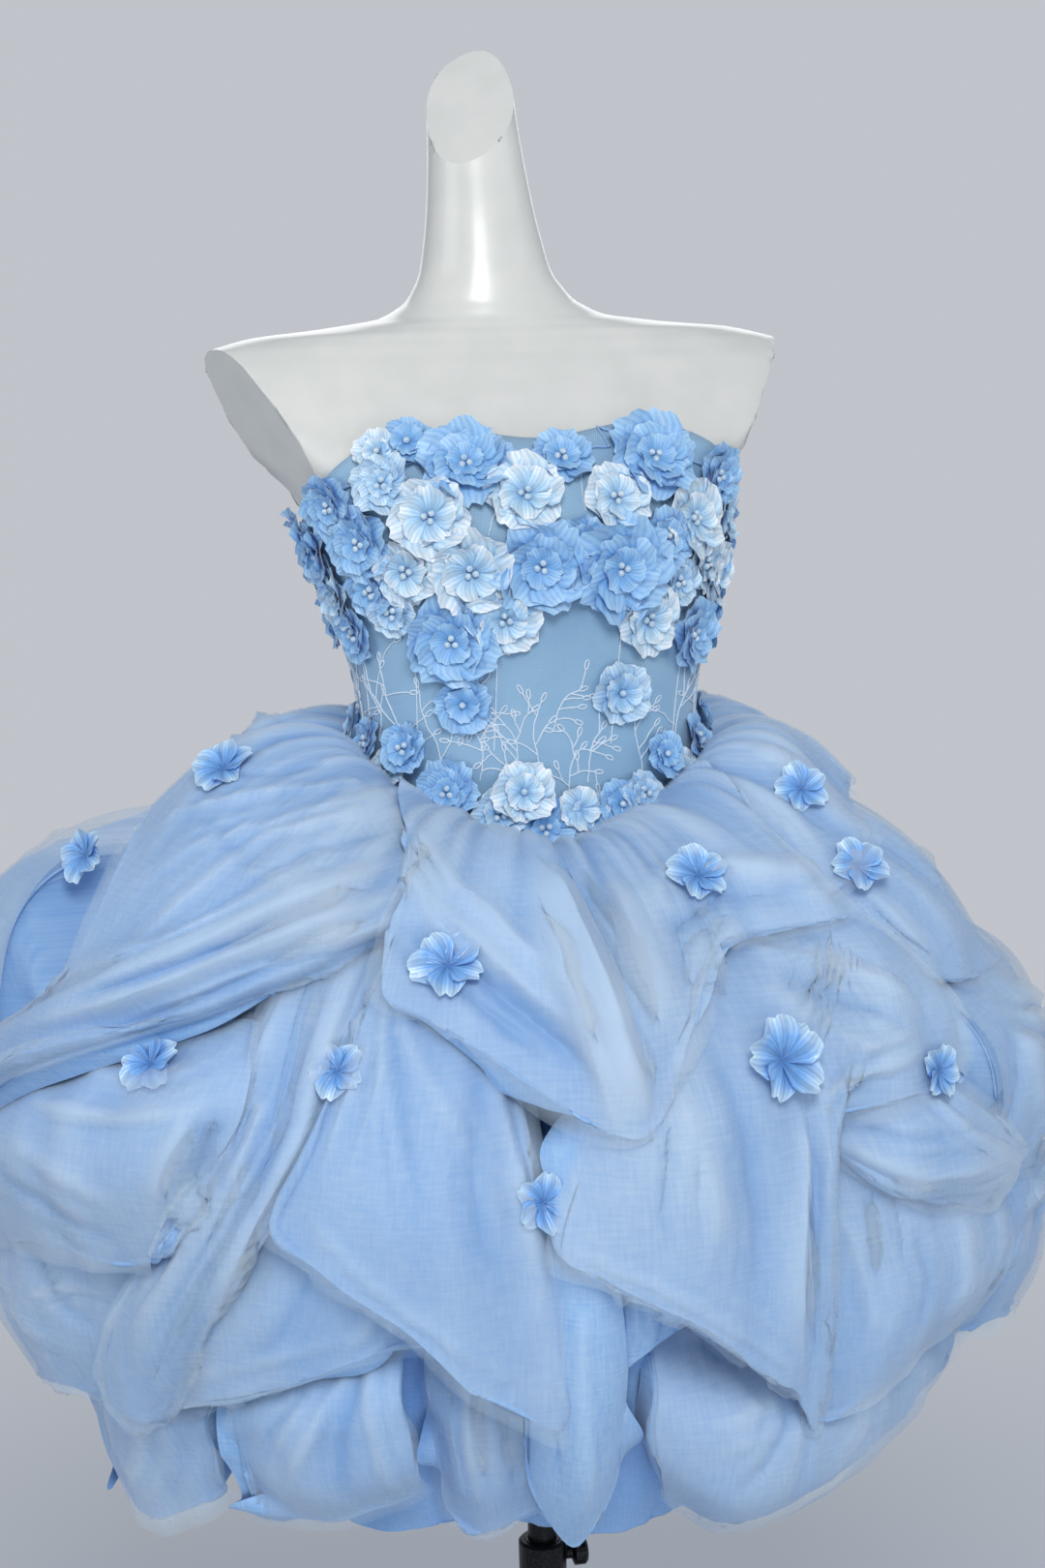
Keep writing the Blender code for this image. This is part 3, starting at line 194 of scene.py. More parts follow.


# %% [markdown]
# ## Organza, sheer net and underskirt cloth
# The skirt is organza with a sheer ply of net over it. Light comes through both, and where the
# plies lie double a ridge looks paler. A number from -1 to 1 on every point says trough or
# ridge, and the material reads it: ridges are painted paler, partly for their doubled plies and
# partly as painted highlight, and troughs darker, as painted shade.
# The net is partly clear: thinner in clouds, and thinnest along its cut edge.

# %% Organza
EDGE_THIN = 0.7                       # how much of its thickness a sheer edge loses
WEAVE_SHADE, CLOUD_SHADE = 0.40, 0.45         # shares of the threads and the clouds
FOLD_SHADE = 0.28                     # painted highlight on ridges and painted shade in troughs, partly for the doubled plies
THREAD_BUMP, THREAD_DEPTH = 0.25, 0.4 * MM


def cloth_material(name, dark, pale, roughness, pitch, alpha=None, **sockets):
    """A woven cloth, cloudy between two colours, with fine threads both ways, painted paler on
    its fold ridges and darker in its troughs.
    """
    material, shader = new_material(name, pale, roughness, **sockets)
    place, flat = body_coordinates(material)
    weave = math_node(material, "ADD", threads(material, flat, pitch, (1, 0.12)),
                      threads(material, flat, pitch, (0.12, 1)))
    cloudy = add_node(material, "ShaderNodeTexNoise", {"Vector": place}, Scale=9.0, Detail=4.0)
    fold = add_node(material, "ShaderNodeAttribute")
    fold.attribute_name = "fold"
    shade = math_node(material, "ADD", math_node(material, "MULTIPLY", weave, WEAVE_SHADE),
                      math_node(material, "MULTIPLY", cloudy.outputs["Fac"], CLOUD_SHADE))
    # a ridge is painted paler and a trough darker: painted highlight and painted shade, partly
    # for the doubled plies
    shade = math_node(material, "ADD", shade,
                      math_node(material, "MULTIPLY", fold.outputs["Fac"], FOLD_SHADE))
    feed_shader(material, shader, ramp_of(material, shade, (0.42, dark), (0.86, pale)), weave,
                THREAD_BUMP, THREAD_DEPTH)
    if alpha is not None:                 # thinner in clouds, and thinnest along its edge
        rim = add_node(material, "ShaderNodeAttribute")
        rim.attribute_name = "under"
        clouds = add_node(material, "ShaderNodeTexNoise", {"Vector": place}, Scale=5.0)
        thick = add_node(material, "ShaderNodeMapRange", {"Value": clouds.outputs["Fac"]},
                         From_Min=0.3, From_Max=0.7, To_Min=alpha * 0.6, To_Max=alpha * 1.4)
        left = math_node(material, "SUBTRACT", 1.0,
                         math_node(material, "MULTIPLY", rim.outputs["Fac"], EDGE_THIN))
        material.node_tree.links.new(
            math_node(material, "MULTIPLY", thick.outputs["Result"], left),
            shader.inputs["Alpha"])
    return material


organza = cloth_material("organza", (0.22, 0.44, 0.78), (0.42, 0.62, 0.88), 0.6, 1.8 * MM,
                         Sheen_Weight=0.25, Sheen_Roughness=0.45)
tulle = cloth_material("tulle", (0.42, 0.61, 0.83), (0.70, 0.82, 0.92), 0.6, 2.3 * MM, 0.40,
                       Sheen_Weight=0.35, Sheen_Roughness=0.45)
# a deeper blue: partly the underskirt's own colour, partly painted shade for the hollows between
# the panels
organza_deep_shade = cloth_material("organza_deep_shade", (0.18, 0.39, 0.76), (0.33, 0.54, 0.86), 0.65,
                              1.4 * MM, Sheen_Weight=0.15, Sheen_Roughness=0.5)
print("cloths:", organza.name, tulle.name, organza_deep_shade.name)

# %% [markdown]
# ## Lift the outer skin
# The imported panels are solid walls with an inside, an outside and a narrow rim. Shown
# cloth needs only the outside. The rim is told by its very short edges; without it the
# wall falls apart into two sheets, and the one that looks away from the stand is kept.

# %% Lift the outer skin off a panel
WELD = 0.01 * MM
RIM = 2.2 * MM                 # only the wall's rim has edges as short as this


def facing_out(faces):
    """How much of some faces looks away from the stand's axis."""
    return sum(face.calc_area() * face.normal.dot(Vector((*face.calc_center_median().xy, 0)))
               for face in faces)


def islands(bm):
    """The faces of each separate sheet."""
    left, sheets = set(bm.faces), []
    while left:
        sheet, edge_of = [], [left.pop()]
        while edge_of:
            face = edge_of.pop()
            sheet.append(face)
            for neighbour in {f for e in face.edges for f in e.link_faces} & left:
                left.remove(neighbour)
                edge_of.append(neighbour)
        sheets.append(sheet)
    return sheets


def welded(node):
    """A bmesh copy of a solid's mesh, with its doubled points joined."""
    bm = bmesh.new()
    bm.from_mesh(NODES[node].data)
    bmesh.ops.remove_doubles(bm, verts=bm.verts[:], dist=WELD)
    return bm


def outer_skin(node):
    """The outer side of a wall, in quads."""
    bm = welded(node)
    rim = [f for f in bm.faces if min(e.calc_length() for e in f.edges) < RIM]
    bmesh.ops.delete(bm, geom=rim, context="FACES")
    outer = set(max(islands(bm), key=facing_out))
    bmesh.ops.delete(bm, geom=[f for f in bm.faces if f not in outer], context="FACES")
    bmesh.ops.join_triangles(bm, faces=bm.faces[:], angle_face_threshold=math.pi,
                             angle_shape_threshold=math.pi, topology_influence=1.0)
    return bm


# %% [markdown]
# ## Smooth the panel
# Cloth has no flat facets. A Subdivision Surface modifier rounds them, but it also
# pulls the surface inwards; so the points are first moved outwards a few times, until
# the smooth surface passes through where the points were. Then the modifier is applied,
# because the next steps need the fine points themselves.

# %% Smooth a panel through its points
SMOOTH_LEVELS = 3
FAIR_ROUNDS = 4


def new_piece(name, bm, material):
    """Turn a bmesh into a shown object."""
    mesh = bpy.data.meshes.new(name)
    bm.to_mesh(mesh)
    bm.free()
    piece = bpy.data.objects.new(name, mesh)
    bpy.context.scene.collection.objects.link(piece)
    mesh.materials.append(material)
    for face in mesh.polygons:
        face.use_smooth = True
    return piece


def settled_mesh(piece):
    """The piece's mesh with its modifiers applied."""
    graph = bpy.context.evaluated_depsgraph_get()
    return bpy.data.meshes.new_from_object(piece.evaluated_get(graph))


def smooth_through(piece, levels=SMOOTH_LEVELS):
    """Subdivide a piece so that the smooth surface still passes through its points."""
    subdivide = piece.modifiers.new("smooth", "SUBSURF")
    subdivide.levels = subdivide.render_levels = 1
    subdivide.boundary_smooth = "PRESERVE_CORNERS"
    goals = [v.co.copy() for v in piece.data.vertices]
    for _ in range(FAIR_ROUNDS):
        smooth = settled_mesh(piece)
        for v, goal in zip(piece.data.vertices, goals):
            v.co += goal - smooth.vertices[v.index].co
        bpy.data.meshes.remove(smooth)
    subdivide.levels = subdivide.render_levels = levels
    smooth = settled_mesh(piece)
    piece.modifiers.remove(subdivide)
    old, piece.data = piece.data, smooth
    bpy.data.meshes.remove(old)


# %% [markdown]
# ## Cloth that lies on cloth
# The skirt is built from the inside out, as a dressmaker layers it, so each piece has
# to know what lies beneath. The finished pieces are kept as search trees (a BVH tree
# finds the nearest point of a mesh quickly), and only those close by are asked.

# %% Layers of cloth that lie on each other
class Layers:
    """Search trees of the cloth laid so far, each with the box that it fills."""

    def __init__(self):
        self.known = []

    def add(self, piece):
        """Remember a piece as it is now."""
        places = places_of(piece)
        bm = bmesh.new()
        bm.from_mesh(piece.data)
        self.known.append((places.min(0), places.max(0), BVHTree.FromBMesh(bm)))
        bm.free()

    def near(self, places, reach):
        """The trees that come within reach of some places."""
        low, high = places.min(0) - reach, places.max(0) + reach
        return [tree for box_low, box_high, tree in self.known
                if (box_low < high).all() and (box_high > low).all()]


def first_hit(trees, start, way, reach):
    """How far a ray goes before it meets any tree, or None."""
    hits = [hit for hit in (tree.ray_cast(start, way, reach)[3] for tree in trees)
            if hit is not None]
    return min(hits) if hits else None


def places_of(piece):
    """Where a piece's points are, as an array."""
    flat = np.empty(len(piece.data.vertices) * 3)
    piece.data.vertices.foreach_get("co", flat)
    return flat.reshape(-1, 3)


def normals_of(piece):
    """The directions of a piece's points, as an array."""
    flat = np.empty(len(piece.data.vertices) * 3)
    piece.data.vertices.foreach_get("normal", flat)
    return flat.reshape(-1, 3)


def turns_of(places):
    """How far round from the centre front places are, in radians."""
    return np.arctan2(places[:, 0], -places[:, 1])


def radii_of(places):
    """How far from the stand's axis places are."""
    return np.hypot(places[:, 0], places[:, 1])


def outward(turn):
    """The level direction that leads out from the axis at a turn in degrees."""
    angle = math.radians(turn)
    return Vector((math.sin(angle), -math.cos(angle), 0))


def under_of(piece):
    """How far round a turned edge each point is, from 0 on the sheet to 1."""
    values = np.zeros(len(piece.data.vertices))
    piece.data.attributes["under"].data.foreach_get("value", values)
    return values


def move_to(piece, places):
    """Put a piece's points in new places."""
    piece.data.vertices.foreach_set("co", places.ravel())
    piece.data.update()


# %% [markdown]
# ## Hems
# A puffed panel isn't cut off at its edge: the cloth rolls under and is caught back to
# the layer beneath. Extruding the free edges towards that layer makes this roll. The
# sheer ply is left to hang a little past the edge instead, more in some places than
# in others, as a raw cut edge of net does.

# %% Turn the edges under
TURN_MOST, TURN_LEAST = 0.085, 0.004  # how deep a hem may turn, in metres
LIE = 0.0011                          # air between two plies that lie on each other
FULL_TURN = 0.015                     # a turn this deep bulges in full
SPAN = 0.06                           # roundness is given as a share of this depth
WANDER = 9                            # an uneven edge changes over a ninth of a metre
HANG_LEAST, HANG_MOST = 0.15, 1.8     # shares of a raw edge's reach


def from_middle(v):
    """The way from the middle of a point's faces to the point."""
    middle = sum((f.calc_center_median() for f in v.link_faces), Vector()) / len(v.link_faces)
    return (v.co - middle).normalized()


def grow_edge(bm, steps, seam_height, depth_of):
    """Extrude the free edges of a sheet ring by ring. depth_of gives which way a point's
    edge grows and how far; a step is (share of that, bulge aside in metres)."""
    under = bm.verts.layers.float.new("under")
    edges = [e for e in bm.edges if e.is_boundary
             and min(v.co.z for v in e.verts) < seam_height]
    start = {}
    for v in {v for e in edges for v in e.verts}:
        start[tuple(v.co)] = (v.co.copy(), from_middle(v), *depth_of(v))
    for number, (share, bulge) in enumerate(steps):
        grown = bmesh.ops.extrude_edge_only(bm, edges=edges)["geom"]
        made = set(grown)
        edges = [e for e in grown if isinstance(e, bmesh.types.BMEdge)
                 and all(v in made for v in e.verts) and e.is_boundary]
        rest = {}
        for v in {v for e in edges for v in e.verts}:
            known = start.get(tuple(v.co))
            if known:
                first, aside, way, depth = known
                v.co = first + way * depth * share + aside * bulge * min(1, depth / FULL_TURN)
                v[under] = (number + 1) / len(steps)
                rest[tuple(v.co)] = known
        edges = [e for e in edges if all(tuple(v.co) in rest for v in e.verts)]
        start = rest


def turn_under(bm, laid, seam_height, roundness):
    """Turn the free edges of a sheet in until they meet the cloth beneath."""
    trees = laid.near(np.array([v.co for v in bm.verts]), TURN_MOST)

    def inward(v):
        found = [hit for hit in (tree.find_nearest(v.co) for tree in trees)
                 if hit[0] is not None]
        near, _, _, gap = min(found, key=lambda hit: hit[3])
        return (near - v.co).normalized(), min(max(gap - LIE, TURN_LEAST), TURN_MOST)
    grow_edge(bm, ((roundness / SPAN, roundness * 0.5), (1.0, 0.0)), seam_height, inward)


def hang_over(bm, seam_height, reach):
    """Let the free edges of a sheet run on past its outline."""
    def onward(v):
        wander = 0.8 + 1.3 * noise.noise(v.co * WANDER)
        return from_middle(v), reach * min(HANG_MOST, max(HANG_LEAST, wander))
    grow_edge(bm, ((1.0, 0.0),), seam_height, onward)


# %% [markdown]
# ## Creases
# Where a panel is pinched up to the waist or tacked to the lining, folds run from the tack. Each
# is given as a line over the panel, with its own height and with a steep and a gentle side; a
# fold that is the same on both sides looks like a pipe.

# %% Listed creases
# A crease is how far it stands up (or sinks, if negative), how far its slopes reach to
# the left and the right of it as it is walked, all in millimetres, and the places that
# it passes: degrees round from the centre front, and the height in centimetres.
Crease = namedtuple("Crease", "rise left right path")
CREASES = {
    "swag_front": [
        (4, 30, 4, ((-32, 101.8), (-26.5, 100), (-18.3, 97.6), (-12.8, 95.3), (-5.6, 92.6))),
        (-6, 14, 18, ((-28, 98.5), (-18, 96), (-12, 93.8), (-7, 91.5), (-3, 88.5))),
        (3, 5, 14, ((-25, 101.2), (-16, 98.9), (-9.5, 96.5), (-6.2, 94.2), (-3, 89.2),
                    (-1.8, 87.1))),
        (9, 7, 32, ((-8.8, 101), (-6, 98.9), (-3.6, 95.3), (-2.5, 92.8), (0.2, 87.5))),
        (-8, 12, 14, ((-4, 100.4), (-1.5, 97), (-0.5, 94), (0.6, 91), (1.0, 88.5))),
        (5, 26, 6, ((1, 100), (2.5, 98.6), (3.2, 94.1), (2.4, 91.5))),
        (3, 6, 12, ((18, 97.5), (14, 95.5), (9, 92.5), (5, 90), (2, 88))),
        (-4, 16, 16, ((30, 98.8), (18, 99.2), (9, 97.6), (6, 93.5))),
        (4, 12, 16, ((34, 99.8), (22, 100.6), (12, 100.2), (6, 98.5))),
        (2, 7, 7, ((-40, 103), (-30, 101), (-22, 98), (-15, 94.5))),
    ],
    "swag_left": [
        (5, 8, 20, ((-33, 101.8), (-43, 100), (-52.5, 96.9), (-59.5, 95.2), (-66, 92.8))),
        (6, 12, 10, ((-32, 100), (-38.8, 99), (-46.5, 97.2), (-57, 94.4), (-71, 91))),
        (-3, 6, 6, ((-36, 100.8), (-43, 99), (-50, 96.9), (-58, 94.9), (-64, 92.9))),
        (3, 6, 14, ((-38, 105), (-50, 103.8), (-53, 101.4), (-56.5, 98.9), (-61.5, 95.8))),
        (-3, 9, 9, ((-36, 103.6), (-43, 102.9), (-48, 101.2), (-53, 98.6), (-58, 96.4))),
        (2.5, 6, 12, ((-36, 105.8), (-48, 105), (-58, 103), (-63, 100.5), (-66, 97.5))),
        (2.5, 6, 10, ((-40, 106.5), (-55, 106.2), (-66, 104.6), (-69, 102.5))),
        (-2, 7, 7, ((-45, 107.6), (-60, 107.2), (-70, 105.5))),
        (-4, 10, 10, ((-38, 98), (-46, 95.5), (-54, 93.2), (-62, 91.5))),
    ],
    "bubble_left": [
        (2.5, 10, 6, ((-70, 88.5), (-62, 88.9), (-55, 88.6), (-50.5, 89.6), (-47, 91))),
        (5, 14, 6, ((-66, 86.4), (-55, 86.7), (-50, 87.3), (-46.5, 88.3))),
        (-7, 12, 14, ((-46, 87), (-47, 84.5), (-49, 82))),
        (3, 5, 14, ((-47.5, 87.6), (-49.5, 85), (-51, 82.5), (-52, 80))),
        (2, 14, 14, ((-68, 84), (-60, 82.5), (-54, 80.5))),
        (-2.5, 12, 12, ((-72, 82), (-64, 79.5), (-56, 78.2))),
        (3, 10, 10, ((-90, 86), (-80, 84.5), (-72, 84))),
    ],
    "veil_left": [
        (4, 10, 4, ((-66, 77.5), (-66.5, 75), (-65, 73))),
        (3, 4, 8, ((-76, 71), (-70, 72.6), (-64, 73))),
        (-3, 8, 8, ((-80, 75), (-74, 73.5), (-70, 70.5), (-66, 69.5))),
        (3, 6, 6, ((-86, 73), (-78, 68.5), (-70, 66.8))),
        (-3, 8, 8, ((-92, 76), (-90, 71), (-86, 67))),
    ],
    "fold_left": [
        (3, 14, 5, ((-43, 95), (-45, 87.5), (-47.5, 81), (-52, 76), (-56, 72), (-59, 68))),
        (-4, 9, 9, ((-38.5, 95.5), (-39, 87), (-44.5, 79), (-49, 74.5), (-54, 70), (-58, 67))),
        (3, 3, 12, ((-35, 96), (-37, 87), (-40, 82.8), (-44.5, 77.5), (-49, 72.5), (-54, 68.3))),
        (3, 5, 8, ((-44, 88.6), (-42, 87.6), (-42.5, 85.5), (-45, 82.5))),
    ],
    "fold_left_under": [
        (1.5, 8, 2, ((-52, 68.8), (-45, 70.2), (-38, 71.8), (-32, 73))),
        (-2, 14, 14, ((-36, 77.5), (-40, 73), (-44, 70.5))),
        (2, 10, 10, ((-28, 76), (-31, 73.5), (-34, 72))),
    ],
    "gore_front": [
        (2.5, 8, 5, ((-30, 94), (-29, 90), (-28.5, 86))),
        (-2.5, 9, 9, ((-29.5, 94), (-27, 90.5), (-25, 86), (-23.5, 81))),
        (2, 10, 10, ((-29, 93.8), (-24, 90), (-19, 86), (-15.5, 82))),
        (2, 6, 6, ((-31, 92), (-33, 87), (-34.5, 83))),
        (3, 10, 16, ((-17, 91), (-14.5, 86), (-12.5, 80), (-11, 74))),
        (-2.5, 16, 16, ((-19, 88), (-18, 82), (-15, 76))),
        (1.6, 10, 2.5, ((-36, 82), (-30, 78.4), (-20, 73.2), (-15, 70.8), (-10, 68.8))),
    ],
    "gore_right": [
        (4, 4, 22, ((19, 86.5), (18.5, 83), (16.7, 77), (17, 73.5), (18.8, 67))),
        (-4, 8, 8, ((20, 84), (19.5, 79), (19, 74), (19.6, 69))),
        (3, 4, 14, ((20.5, 95.8), (26, 95.2), (31, 94.2), (34.5, 92.6), (36.5, 90.5))),
        (-3, 8, 8, ((21, 94.2), (26, 93), (31, 91.5), (34, 89.8))),
        (2, 10, 10, ((18, 94), (24, 91.5), (29, 89.5), (33, 88))),
        (2, 8, 14, ((4, 89), (6, 85), (6.5, 81), (5, 77))),
        (-2.5, 16, 16, ((9, 91), (11, 86), (12, 80), (11, 75))),
        (-2, 12, 12, ((2.5, 87), (1, 82), (1.5, 78))),
        (1.6, 10, 2.5, ((-8, 79.3), (0, 77.1), (5, 75), (10, 72.6), (15, 70.2), (18.8, 67))),
        (3, 10, 6, ((22, 86.5), (25, 88), (30, 88.2), (36, 88.6))),
    ],
    "gore_right_low": [
        (-3, 6, 6, ((28.5, 79.5), (28, 77), (27, 74))),
        (2.5, 12, 12, ((25, 79), (26, 75), (27, 71), (25, 68))),
        (-2.5, 14, 14, ((33, 77), (34, 73), (32, 69))),
        (2, 10, 10, ((41, 76), (41, 72), (38, 69.3))),
        (2, 8, 8, ((50, 76), (49, 73.5), (45, 71))),
    ],
    "lip_right": [
        (2.5, 4, 10, ((35.5, 86.3), (38, 84), (40.5, 82.5), (46, 80.3), (50, 79))),
        (3, 12, 5, ((25.5, 83.3), (29, 81.8), (33, 80.6), (43, 79.8), (48, 79.6))),
        (-2, 8, 8, ((27, 84.5), (31, 83.5), (36, 83), (42, 82.5))),
    ],
    "puff_right_mid": [
        (3, 10, 6, ((42, 98), (45, 95), (49, 92.5))),
        (-3, 10, 10, ((50, 101), (54, 98), (58, 94))),
        (2, 8, 8, ((47, 100), (52, 96), (56, 91.5))),
        (-2, 9, 9, ((60, 98), (63, 94), (66, 90))),
    ],
    "puff_right_top": [
        (2.5, 10, 6, ((46, 107), (50, 105), (47, 101))),
        (-2, 9, 9, ((56, 107.5), (58, 104), (52, 100.5))),
        (2, 5, 8, ((36, 104.5), (38, 102), (37, 99))),
        (2, 9, 9, ((68, 107), (70, 103), (66, 99))),
        (-2, 9, 9, ((80, 107), (80, 103), (76, 99))),
    ],
    "bubble_right": [
        (2.5, 10, 6, ((18, 66.5), (13, 66), (8, 65.5))),
        (-2.5, 8, 8, ((19, 65.5), (15, 62.5), (11, 60.3))),
        (2.5, 8, 8, ((20, 65), (19, 62), (17, 59.5))),
        (-2, 8, 8, ((9, 70.5), (12, 69), (16, 67.5))),
        (2.5, 10, 6, ((30, 66), (29, 63), (25, 60))),
    ],
    "front_tail": [
        (3, 8, 12, ((-7, 75), (-7, 68), (-6.5, 62), (-7, 58.5))),
        (-2, 6, 6, ((-10, 72), (-10, 66), (-9.5, 61))),
    ],
    "pocket_right": [(-2.5, 8, 8, ((2, 76), (2.5, 72.5), (1, 69.5)))],
    "ruffle_mid": [
        (3, 8, 8, ((-34.5, 70), (-38, 66), (-44, 60.5))),
        (-3, 8, 8, ((-33, 70), (-35, 65), (-36, 60))),
        (3, 8, 5, ((-32, 70.5), (-31, 66), (-30, 60.5))),
        (-2, 8, 8, ((-38, 69), (-43, 66), (-47, 62.5))),
    ],
    "ruffle_left": [
        (3, 8, 8, ((-62, 64), (-66, 60), (-72, 56))),
        (-3, 8, 8, ((-70, 65), (-74, 60), (-76, 57))),
        (-2, 8, 8, ((-58, 64), (-60, 60), (-63, 57))),
    ],
    "ruffle_front": [
        (3, 8, 8, ((-21, 71), (-21, 65), (-20.5, 59.5))),
        (-2.5, 7, 7, ((-17, 69), (-16.5, 64), (-16, 60))),
    ],
}
CREASES = {panel: [Crease(*row) for row in rows] for panel, rows in CREASES.items()}
print("creases by hand:", sum(len(rows) for rows in CREASES.values()))

# %% [markdown]
# ## Creases for the other panels
# The panels at the sides and the back get folds of the same make, drawn by a seeded generator,
# so that every run gives the same ones: they fan out from a pinch near an upper corner, ridges
# and troughs in turn. And each crease, listed or drawn, gets a smaller companion beside it, as
# pinched cloth hardly ever folds only once.

# %% Draw creases
HIDDEN_CREASES = 8                    # on each panel of the sides and the back
DEGREE = 1.745                        # centimetres round per degree, at one metre
SHEET_ONLY = 0.05                     # points turned under by more than this are hem
COMPANION = 0.55                      # how wide a companion is, beside its crease
APART = (1.0, 1.9)                    # centimetres between the two


def hidden_creases(piece, seed):
    """Creases of uneven reach that fan out from a pinch near a panel's upper corner."""
    draw = random.Random(seed)
    places = places_of(piece)[under_of(piece) < SHEET_ONLY]
    turns = np.degrees(turns_of(places))
    if np.ptp(turns) > 200:               # the panel lies across the centre back
        turns = turns % 360
    start = Vector((turns.min(), places[:, 2].min() * 100))
    size = Vector((np.ptp(turns), np.ptp(places[:, 2]) * 100))
    side = draw.choice((0, 1))
    pinch = Vector((abs(side - draw.uniform(0.08, 0.3)), draw.uniform(0.78, 0.95)))
    creases = []
    for k in range(HIDDEN_CREASES):
        fan = (k + draw.uniform(0.2, 0.8)) / HIDDEN_CREASES       # 0 straight down, 1 across
        goal = Vector((abs(side - draw.uniform(0.0, 0.1) - fan * 0.95),
                       0.04 + 0.66 * fan ** 2))
        way = goal - pinch
        belly = (pinch + way * draw.uniform(0.4, 0.6)
                 + Vector((-way.y, way.x)) * draw.uniform(-0.16, 0.16))
        spots = (pinch + way * draw.uniform(0.05, 0.22), belly,
                 pinch + way * draw.uniform(0.75, 0.98))
        path = tuple((start.x + size.x * u, start.y + size.y * v) for u, v in spots)
        if k % 2:
            sharp, soft = draw.uniform(4, 7), draw.uniform(16, 28)
            rise = draw.uniform(3.5, 6)
            creases.append(Crease(rise, *draw.choice(((sharp, soft), (soft, sharp))), path))
        else:
            creases.append(Crease(draw.uniform(-4.5, -2.5), draw.uniform(8, 14),
                                  draw.uniform(8, 14), path))
    return creases


def with_companions(creases, seed):
    """The creases, each with a smaller one close beside it."""
    draw = random.Random(seed)
    every = list(creases)
    for crease in creases:
        (turn, height), (to_turn, to_height) = crease.path[0], crease.path[-1]
        run = Vector(((to_turn - turn) * GIRTH_RADIUS * DEGREE, to_height - height)).normalized()
        aside = draw.choice((-1, 1)) * draw.uniform(*APART)
        shift = (-run.y * aside / GIRTH_RADIUS / DEGREE, run.x * aside)
        trim = slice(0, None)
        if len(crease.path) >= 4:
            trim = slice(*draw.choice(((0, -1), (1, None))))
        path = tuple((turn + shift[0], height + shift[1]) for turn, height in crease.path[trim])
        every.append(Crease(crease.rise * draw.uniform(0.3, 0.55), crease.left * COMPANION,
                            crease.right * COMPANION, path))
    return every


# %% [markdown]
# ## Press the creases in
# A crease is walked in short steps over the sheet. Every point of the sheet finds the nearest
# step, and rises by a tent shape: highest on the line, down to nothing where the slope ends. The
# line's two ends taper away. The rise is also added to the "fold" number, from which the cloth's
# material paints shade into the troughs and a highlight onto the ridges.

# %% Press creases
CREASE_STEP = 0.007                   # metres between two places on a crease
FAR_OUT, SKIRT_OUT = 0.7, 0.33        # radii outside everything, and about the skirt's
FOLD_FULL = 0.006                     # a fold this high is marked as a full one
PEAK = 1.6                            # above 1 a ridge is sharp and its feet are soft
FADE_IN, FADE_OUT, FIRST = 0.15, 0.35, 0.25   # shares of a crease's length; how it begins


def seat(tree, turn, height):
    """The outermost point of a sheet at a turn and height."""
    out = outward(turn)
    place = tree.ray_cast(out * FAR_OUT + Vector((0, 0, height)), -out, FAR_OUT)[0]
    if place is None:
        place = tree.find_nearest(out * SKIRT_OUT + Vector((0, 0, height)))[0]
    return place


def crease_line(tree, path):
    """Points close together along a crease, on the sheet."""
    seats = []
    for (turn, height), (to_turn, to_height) in zip(path, path[1:]):
        steps = max(2, int((seat(tree, turn, height / 100)
                            - seat(tree, to_turn, to_height / 100)).length / CREASE_STEP))
        for k in range(steps + 1):
            share = k / steps
            seats.append(seat(tree, turn + (to_turn - turn) * share,
                              (height + (to_height - height) * share) / 100))
    return np.array([tuple(p) for p in seats])


def mark_fold_shade(piece, folds):
    """Add to the piece's own measure of its folds, from -1 in a trough to 1 on a ridge, which
    the cloth's material paints as shade in the troughs and highlight on the ridges.
    """
    attributes = piece.data.attributes
    marked = attributes.get("fold") or attributes.new("fold", "FLOAT", "POINT")
    values = np.zeros(len(folds))
    marked.data.foreach_get("value", values)
    marked.data.foreach_set("value", (values + folds).clip(-1, 1))


def press_creases(piece, creases, share):
    """Raise or sink a sheet along its creases, by a share of what they say."""
    bm = bmesh.new()
    bm.from_mesh(piece.data)
    tree = BVHTree.FromBMesh(bm)
    bm.free()
    places, normals = places_of(piece), normals_of(piece)
    rise, every = np.zeros(len(places)), np.arange(len(places))
    for crease in creases:
        line = crease_line(tree, crease.path)
        first, step = line[:-1], np.diff(line, axis=0)
        length = np.maximum((step ** 2).sum(1), 1e-12)
        along = ((places[:, None] - first) * step).sum(2) / length
        along = along.clip(0, 1)
        aside = places[:, None] - (first + along[..., None] * step)
        gap = np.linalg.norm(aside, axis=2)
        nearest = gap.argmin(1)
        left_of = (aside[every, nearest] * np.cross(normals, step[nearest])).sum(1) > 0
        width = np.where(left_of, crease.left, crease.right) * MM
        way = (nearest + along[every, nearest]) / len(first)
        shape = (1 - gap[every, nearest] / width).clip(0) ** PEAK
        taper = np.minimum(1, np.minimum(way / FADE_IN + FIRST, (1 - way) / FADE_OUT))
        rise += crease.rise * MM * share * shape * taper
    move_to(piece, places + normals * rise[:, None])
    mark_fold_shade(piece, rise / FOLD_FULL)


# %% [markdown]
# ## Ripples and gathers
# Between its creases cloth is never quite flat, so a little uneven noise ripples it.
# At the waist seam the skirt is gathered into narrow folds that fan out and die away,
# and from the hip down it falls in broader ones. Noise that is read round a circle
# gives folds that run down the skirt and close up at the back without a seam.

